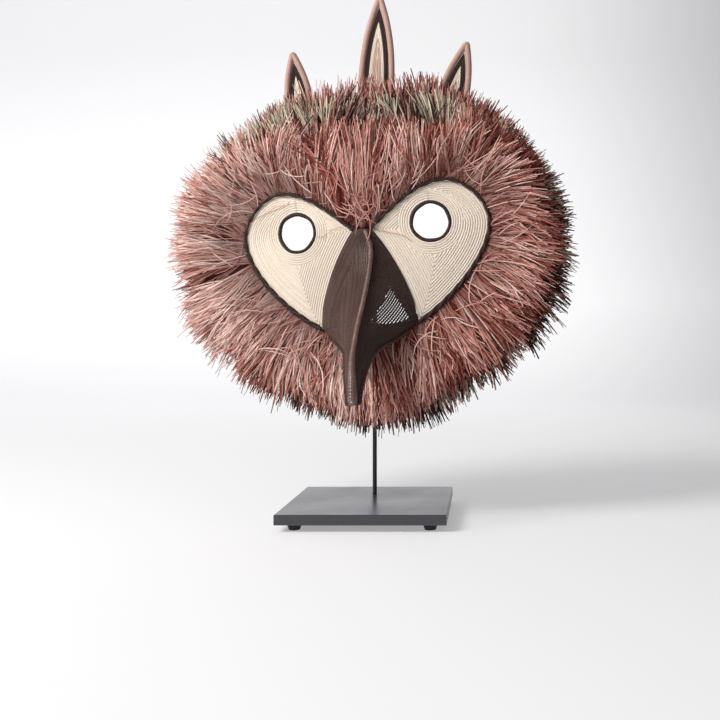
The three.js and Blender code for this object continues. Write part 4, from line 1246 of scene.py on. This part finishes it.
# The strands stand nearly square to the cheeks' rims: the turn of a root for that of its tip, in degrees
rootsOf = {
    "tip": np.radians([0, 5, 12.5, 25.6, 40, 60, 80, 95, 108, 120, 134.5, 150, 165, 180]),
    "root": np.radians([0, 17, 31, 40.7, 49, 60, 76, 88, 98, 110, 123, 137, 156, 180]),
}


def turnAndRadius(points):
    across, up = points[..., 0], points[..., 1] - faceMiddle
    return np.arctan2(across, up), np.hypot(across, up)


def growRow(row, look):
    # strands in locks: each lock has its own slant, bend and length, and its strands nearly follow
    count, layers, locks = look["count"], look["layers"], look["locks"]
    turn = strandTurns(row, count)
    depth = rng.random(count) ** look["crowd"]
    depth = np.where(rng.random(count) < look["behind"], rng.uniform(0.9, 1, count), depth)
    layer = np.minimum(layers - 1, (depth * layers).astype(int))
    place = (
        (turn / (2 * math.pi) + 0.5) * locks
        + 0.9 * np.sin(turn * 7 + layer) + 0.6 * np.sin(turn * 17 + 2 * layer) + layer * 0.37
    )
    index = np.floor(place).astype(int)
    gather = (index + 0.5 - place) / locks * 2 * math.pi * look["gather"]
    lock = index % (locks + 3)
    habits = ("lockTilt", "lockBow", "lockLong", "lockLift")
    habit = {key: rng.normal(0, look[key], (layers, locks + 3))[layer, lock] for key in habits}
    shade = rng.normal(0, pinkTones["lock"], (layers, locks + 3))[layer, lock]
    square = np.sign(turn) * np.interp(np.abs(turn), rootsOf["tip"], rootsOf["root"])
    rootTurn = turn + (square - turn) * look["fan"]
    rootTurn = np.where(np.abs(rootTurn) > math.pi, turn, rootTurn)
    least = rowRoot(row, rootTurn)
    slant = rng.normal(0, look["tilt"], count) + habit["lockTilt"] + gather
    reach = rowReach(row, look, turn)
    short = rng.random(count) < look["shortShare"]
    far = reach + rng.normal(0, look["over"], count) + habit["lockLong"]
    far = np.minimum(far, reach + fringe["overMost"])
    root, tip = polar(rootTurn, least, 0.0)[:, :2], polar(turn + slant, far, 0.0)[:, :2]
    start = np.where(short, rng.uniform(0, 0.45, count), 0.04 * rng.random(count))
    end = np.where(short, start + rng.uniform(0.35, 0.7, count), 1)
    s = np.linspace(0, 1, strandShape["segments"] + 1)[None]
    share = (start[:, None] + (end - start)[:, None] * s)[..., None]
    line = root[:, None] + (tip - root)[:, None] * share
    length = np.linalg.norm(tip - root, axis=1)
    bow = (rng.normal(0, look["bow"], count) + habit["lockBow"]) * length
    aside = unit((tip - root)[:, ::-1] * (1, -1))
    line = line + aside[:, None] * (bow[:, None] * np.sin(math.pi * s))[..., None]
    line[..., 1] -= (look["droop"] * np.abs(np.sin(turn)))[:, None] * share[..., 0] ** 2
    turns, radius = turnAndRadius(line)
    front, back = rowBounds(row, turns, radius)
    rise = np.where(short, 0.35, 0.1)[:, None]
    inside = np.clip(depth[:, None] * 0.92 + rise * (1 - s) * (1 - depth[:, None]), 0, 1)
    lift = rng.normal(0, look["lift"], count) + habit["lockLift"]
    forward = front + (back - front) * inside + lift[:, None] * s ** 1.5
    forward += np.where(short & (depth < 0.4), rng.uniform(-1, 4, count), 0)[:, None] * s
    path = polar(turns, radius, forward)
    wide = look["width"][0] + (look["width"][1] - look["width"][0]) * rng.random(count) ** 1.7
    width = wide[:, None] * np.interp(s, *strandShape["taper"])
    roll = rng.normal(0, 0.6, count)
    sideways = np.stack([np.cos(turn), -np.sin(turn), np.zeros(count)], 1)
    flat = np.cos(roll)[:, None] * np.array([0, 0, 1.0]) + np.sin(roll)[:, None] * sideways
    return path, width, flat, share[..., 0] * length[:, None], pickTones(look, turn, depth, shade), turn


def layOnFringe(line, lift):  # brings a flat line of points to just over the front row
    away = line - (0, faceMiddle)
    turns, radii = np.arctan2(away[..., 0], away[..., 1]), np.linalg.norm(away, axis=-1)
    radii = np.maximum(radii, faceRadius(turns) - 1)
    return polar(turns, radii, rowBounds("front", turns, radii)[0] + lift)


def strayStrands(look):  # long loose ends that lie across the front row
    count, rings = look["count"], strandShape["segments"] + 1
    turn = rng.uniform(-math.pi, math.pi, count)
    s = np.linspace(0, 1, rings)[None]
    least = rowRoot("front", turn)
    reach = rowReach("front", fringeRows["front"], turn)
    radius = least + (reach - least) * rng.uniform(*look["spread"], count)
    heading = turn + rng.normal(0, look["aside"], count)
    curl = rng.normal(0, look["curl"], count)
    angles = heading[:, None] + curl[:, None] * (s - 0.5)
    length = rng.uniform(*look["length"], count)
    step = np.stack([np.sin(angles), np.cos(angles)], -1) * (length / (rings - 1))[:, None, None]
    line = polar(turn, radius, 0.0)[:, None, :2] + np.cumsum(step, axis=1) - step * rings / 2
    path = layOnFringe(line, 0.6 + rng.uniform(*look["lift"], count)[:, None] * np.sin(math.pi * s))
    width = rng.uniform(*look["width"], count)[:, None] * np.interp(s, *look["taper"])
    flat = np.broadcast_to([0, 0, 1.0], (count, 3)) + rng.normal(0, 0.3, (count, 3))
    return path, width, flat, np.full((count, rings), look["run"]), rng.uniform(*look["tones"], count), turn


# Loose curls over the notch between the cheeks, and three long ends that fell across the face:
# points across and up, with the height over what they lie on
curls = [
    [(-4, 34, 3), (3, 26, 5), (9, 17, 6), (8, 8, 6), (1, 5, 6), (-6, 9, 6)],
    [(14, 30, 3), (6, 24, 5), (-3, 19, 6), (-12, 20, 5), (-19, 26, 3)],
    [(-16, 18, 4), (-8, 12, 6), (0, 7, 7), (9, 4, 7), (15, 0, 6)],
    [(20, 24, 3), (13, 15, 5), (5, 9, 7), (-1, 2, 8), (-5, -8, 7)],
    [(4, 40, 2), (-2, 28, 5), (2, 16, 7), (9, 6, 8), (10, -6, 9), (7, -17, 12)],
    [(-20, 30, 3), (-12, 24, 5), (-9, 14, 6), (-13, 7, 5)],
    [(8, 44, 2), (12, 32, 4), (9, 22, 6), (1, 17, 6), (-4, 24, 6), (1, 31, 5)],
    [(24, 34, 3), (17, 30, 5), (14, 21, 6), (18, 13, 5), (26, 12, 3)],
    [(-8, 44, 2), (-11, 32, 4), (-5, 21, 6), (4, 13, 7), (13, 11, 6)],
    [(-2, 22, 5), (6, 18, 6), (14, 17, 5), (22, 21, 3), (28, 28, 2)],
    [(-26, 24, 3), (-18, 17, 4), (-10, 15, 6), (-2, 16, 6)],
    [(10, -4, 1.2), (25, -8, 0.8), (38, -12, 0.8), (46, -18, 0.7)],
    [(-15, 1, 1.2), (-27, 0, 0.8), (-38, -6, 0.8), (-45, -5, 0.7)],
    [(-108, 15, 3), (-96, 20, 0.8), (-80, 23, 0.7), (-66, 27, 0.7)],
]


def growCurls(pile):
    count = curlShape["points"]
    taper = np.interp(np.linspace(0, 1, count), *looseEnds["taper"])
    for points in curls:
        points = np.array(points, float)
        points[:, :2] += rng.normal(0, curlShape["jitter"], (len(points), 2))
        line = smoothCurve(points, count)
        forward = faceForward(line[:, 0], line[:, 1]) + line[:, 2]
        path = np.stack([line[:, 0], line[:, 1], forward], 1)
        width = curlShape["thin" if points[:, 2].max() < curlShape["thinBelow"] else "width"] * taper
        along, tone = np.full((1, count), curlShape["run"]), np.array([curlShape["tone"]])
        growStrands(pile, path[None], width[None], np.array([[0.2, 0.1, 1]]), along, tone)


def addShadeBody(pile, row):  # the dense body under the strands, which carries the painted shade seen between them
    turns = np.linspace(-math.pi, math.pi, 300, endpoint=False)
    closed = row != "back"
    if not closed:
        turns = np.radians(np.linspace(-fringe["arch"] + 2, fringe["arch"] - 2, 220))
    least = rowRoot(row, turns)
    reach = rowReach(row, fringeRows[row], turns) - fringeBody["short"]
    section = []
    shares = (0.02, 0.25, 0.5, 0.75, 1.0)
    for depth, run in ((fringeBody["near"], shares), (fringeBody["far"][row], shares[::-1])):
        for share in run:
            radius = least + (reach - least) * share
            front, back = rowBounds(row, turns, radius)
            section.append(polar(turns, radius, front + (back - front) * depth))
    points = np.stack(section, 1)
    count = points.shape[1]
    along = np.tile(np.concatenate([shares, shares[::-1]]) * fringeBody["run"], len(turns))
    tris = []
    if not closed:
        last = (len(turns) - 1) * count
        fan = np.array([[0, i, i + 1] for i in range(1, count - 1)])
        tris = np.concatenate([fan, fan[:, ::-1] + last])
    tone = np.repeat(np.arange(len(turns)) % 97 / 97, count)
    pile.add(points.reshape(-1, 3), gridQuads(len(turns), count, closed, True), tris, along, tone)


def makeFringe():
    for row, look in fringeRows.items():
        grown = [growRow(row, look)]
        if row == "front":
            grown.append(strayStrands(looseEnds))
        path, width, flat, along, tone, turn = (np.concatenate(parts) for parts in zip(*grown))
        halves = {"": np.full(len(turn), True)}
        if row == "front":
            halves = {"_left": turn < 0, "_right": turn >= 0}
        for half, chosen in halves.items():
            pile = Pile()
            growStrands(pile, path[chosen], width[chosen], flat[chosen], along[chosen], tone[chosen])
            if half == "_left":
                growCurls(pile)
            finish = fibres["pinkFibre" if look["kinds"] is None else "mixedFibre"]
            makePiece(f"{row}_strands{half}", pile, finish, [f"fringe_{row}"], smooth=False)
        # the body under each row carries painted shade
        body = Pile()
        addShadeBody(body, row)
        makePiece(f"{row}_body", body, shadeBodyFibre, [f"fringe_{row}"])


makeFringe()
print("fringe grown")

# The crests: a wrapped rod bent over a woven leaf with a dark border
crests = {
    "left": {"tip": (-85, 194), "halfWidth": 12.5, "taper": 55, "fullness": 2, "lean": -4},
    "center": {"tip": (9.5, 240), "halfWidth": 15.7, "taper": 93, "fullness": 2.5, "lean": 6.5},
    "right": {"tip": (94, 184), "halfWidth": 13.5, "taper": 60, "fullness": 2, "lean": 19},
}
crestMake = {
    "setback": 5, "rod": 3.2, "bend": 27, "rowPitch": 1.5, "borderRows": 3, "creamRows": 2,
    "wrap": (1.25, 0.1), "foot": 40, "clear": 0.8,
}


def crestHalf(crest, height, z):
    narrowing = np.maximum(0, z - (height - crest["taper"])) / crest["taper"]
    return crest["halfWidth"] * (1 - narrowing ** crest["fullness"])


def makeCrest(name, crest):
    tipAcross, tipUp = crest["tip"]
    lean = math.radians(crest["lean"])
    crown = math.sqrt(float(hoodBack(np.array(0.0))) ** 2 - tipAcross ** 2) + faceMiddle
    height = (tipUp - crown) / math.cos(lean) + crestMake["foot"]
    tapered = height - crest["taper"] * (1 - np.sin(np.linspace(0, math.pi / 2, 160)))
    z = np.concatenate([np.linspace(0, height - crest["taper"], 60)[:-1], tapered])
    half = crestHalf(crest, height, z)

    def put(flat):  # leaf points (across, up from the foot) to the mask
        x, y = flat[:, 0], flat[:, 1] - height
        across = tipAcross + x * math.cos(lean) + y * math.sin(lean)
        up = tipUp - x * math.sin(lean) + y * math.cos(lean)
        return np.stack([across, up, np.full(len(flat), -hood["depth"] + crestMake["setback"])], 1)

    def clearOfHood(points):  # the run of points that stand outside the hood
        turn, radius = turnAndRadius(points)
        outside = np.flatnonzero(radius > hoodRadius(turn, points[:, 2]) + crestMake["clear"])
        return points[outside[0]:outside[-1] + 1]

    def insetLine(inset):  # one side, a distance inside the rod's middle, up to where both sides meet
        slope = np.gradient(half, z)
        norm = np.hypot(1, slope)
        line = np.stack([half - inset / norm, z + slope * inset / norm], 1)
        good = line[:, 0] > 0.02
        stop = len(line) if good.all() else int(np.argmin(good))
        return line[:stop]

    leg = insetLine(0)
    path = resample(np.vstack([leg, (leg * (-1, 1))[::-1]]), spacing=crestMake["wrap"][0] / 4)
    window = np.hanning(crestMake["bend"])
    path = np.stack([np.convolve(path[:, k], window / window.sum(), "valid") for k in (0, 1)], 1)
    path[:, 1] += (height - path[:, 1].max()) * np.clip(path[:, 1] / height, 0, 1) ** 8
    pile = Pile()
    sweep(pile, clearOfHood(put(path)), (0, 0, 1), (crestMake["rod"],) * 2, 10, crestMake["wrap"], tone=0.6)
    makePiece(f"crest_{name}_rod_wrap", pile, coils["pinkWrap"], [f"crest_{name}_hoop"])
    border, leaf = Pile(), Pile()
    pitch, row = crestMake["rowPitch"], 0
    while True:
        line = insetLine(crestMake["rod"] + (row + 0.5) * pitch)
        if len(line) < 8 or line[0, 0] < 0.4 * pitch:
            break
        both = resample(np.vstack([line, (line * (-1, 1))[::-1]]), spacing=1.2)
        pile = border if row < crestMake["borderRows"] else leaf
        pink = row >= crestMake["borderRows"] + crestMake["creamRows"]
        tones = (0.1, 0.8) if pile is border else (0.94, 1.0) if pink else (0, 0.8)
        sweep(pile, clearOfHood(put(both)), (0, 0, 1), (pitch / 2 * 1.15, 1.1), 7, tone=rng.uniform(*tones))
        row += 1
    leafInset = crestMake["rod"] + crestMake["borderRows"] * pitch
    backings = ((border, crestMake["rod"], 0.35, 0.2), (leaf, leafInset, 0.5, 0.3))
    for pile, inset, thick, tone in backings:  # a thin sheet inside the rows
        line = resample(insetLine(inset), count=60)
        edges = [put(line * (1, 1)), put(line * (-1, 1))]
        starts = [len(edge) - len(clearOfHood(edge)) for edge in edges]
        loops = [edge[np.maximum(np.arange(min(starts), 60), start)] for edge, start in zip(edges, starts)]
        section = ((0, 1), (1, 1), (1, -1), (0, -1))
        ring = np.stack([loops[side] + (0, 0, way * thick) for side, way in section], 1)
        last = (len(ring) - 1) * 4
        ends = [[0, 1, 2], [0, 2, 3], [last + 2, last + 1, last], [last + 3, last + 2, last]]
        pile.add(ring.reshape(-1, 3), gridQuads(len(ring), 4, False, True), ends, tone=tone)
    makePiece(f"crest_{name}_border_coils", border, coils["darkWrap"], [f"crest_{name}_border"])
    makePiece(f"crest_{name}_leaf_coils", leaf, coils["creamCoil"], [f"crest_{name}_panel"])


for name, crest in crests.items():
    makeCrest(name, crest)
print("crests woven")

# The stand keeps its CAD solids and gets its coat
for node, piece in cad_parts.items():
    if not node.startswith("stand_"):
        continue
    finish = coats["footRubber" if "foot" in node else "powderCoat" if node == "stand_plate" else "blackRod"]
    piece.data.materials.clear()
    piece.data.materials.append(finish)
    if node in ("stand_rod", "stand_cradle") or "foot" in node:
        piece.data.polygons.foreach_set("use_smooth", np.ones(len(piece.data.polygons), bool))
        crease = piece.modifiers.new("softEdges", "EDGE_SPLIT")
        crease.split_angle = math.radians(40)
print("stand coated")
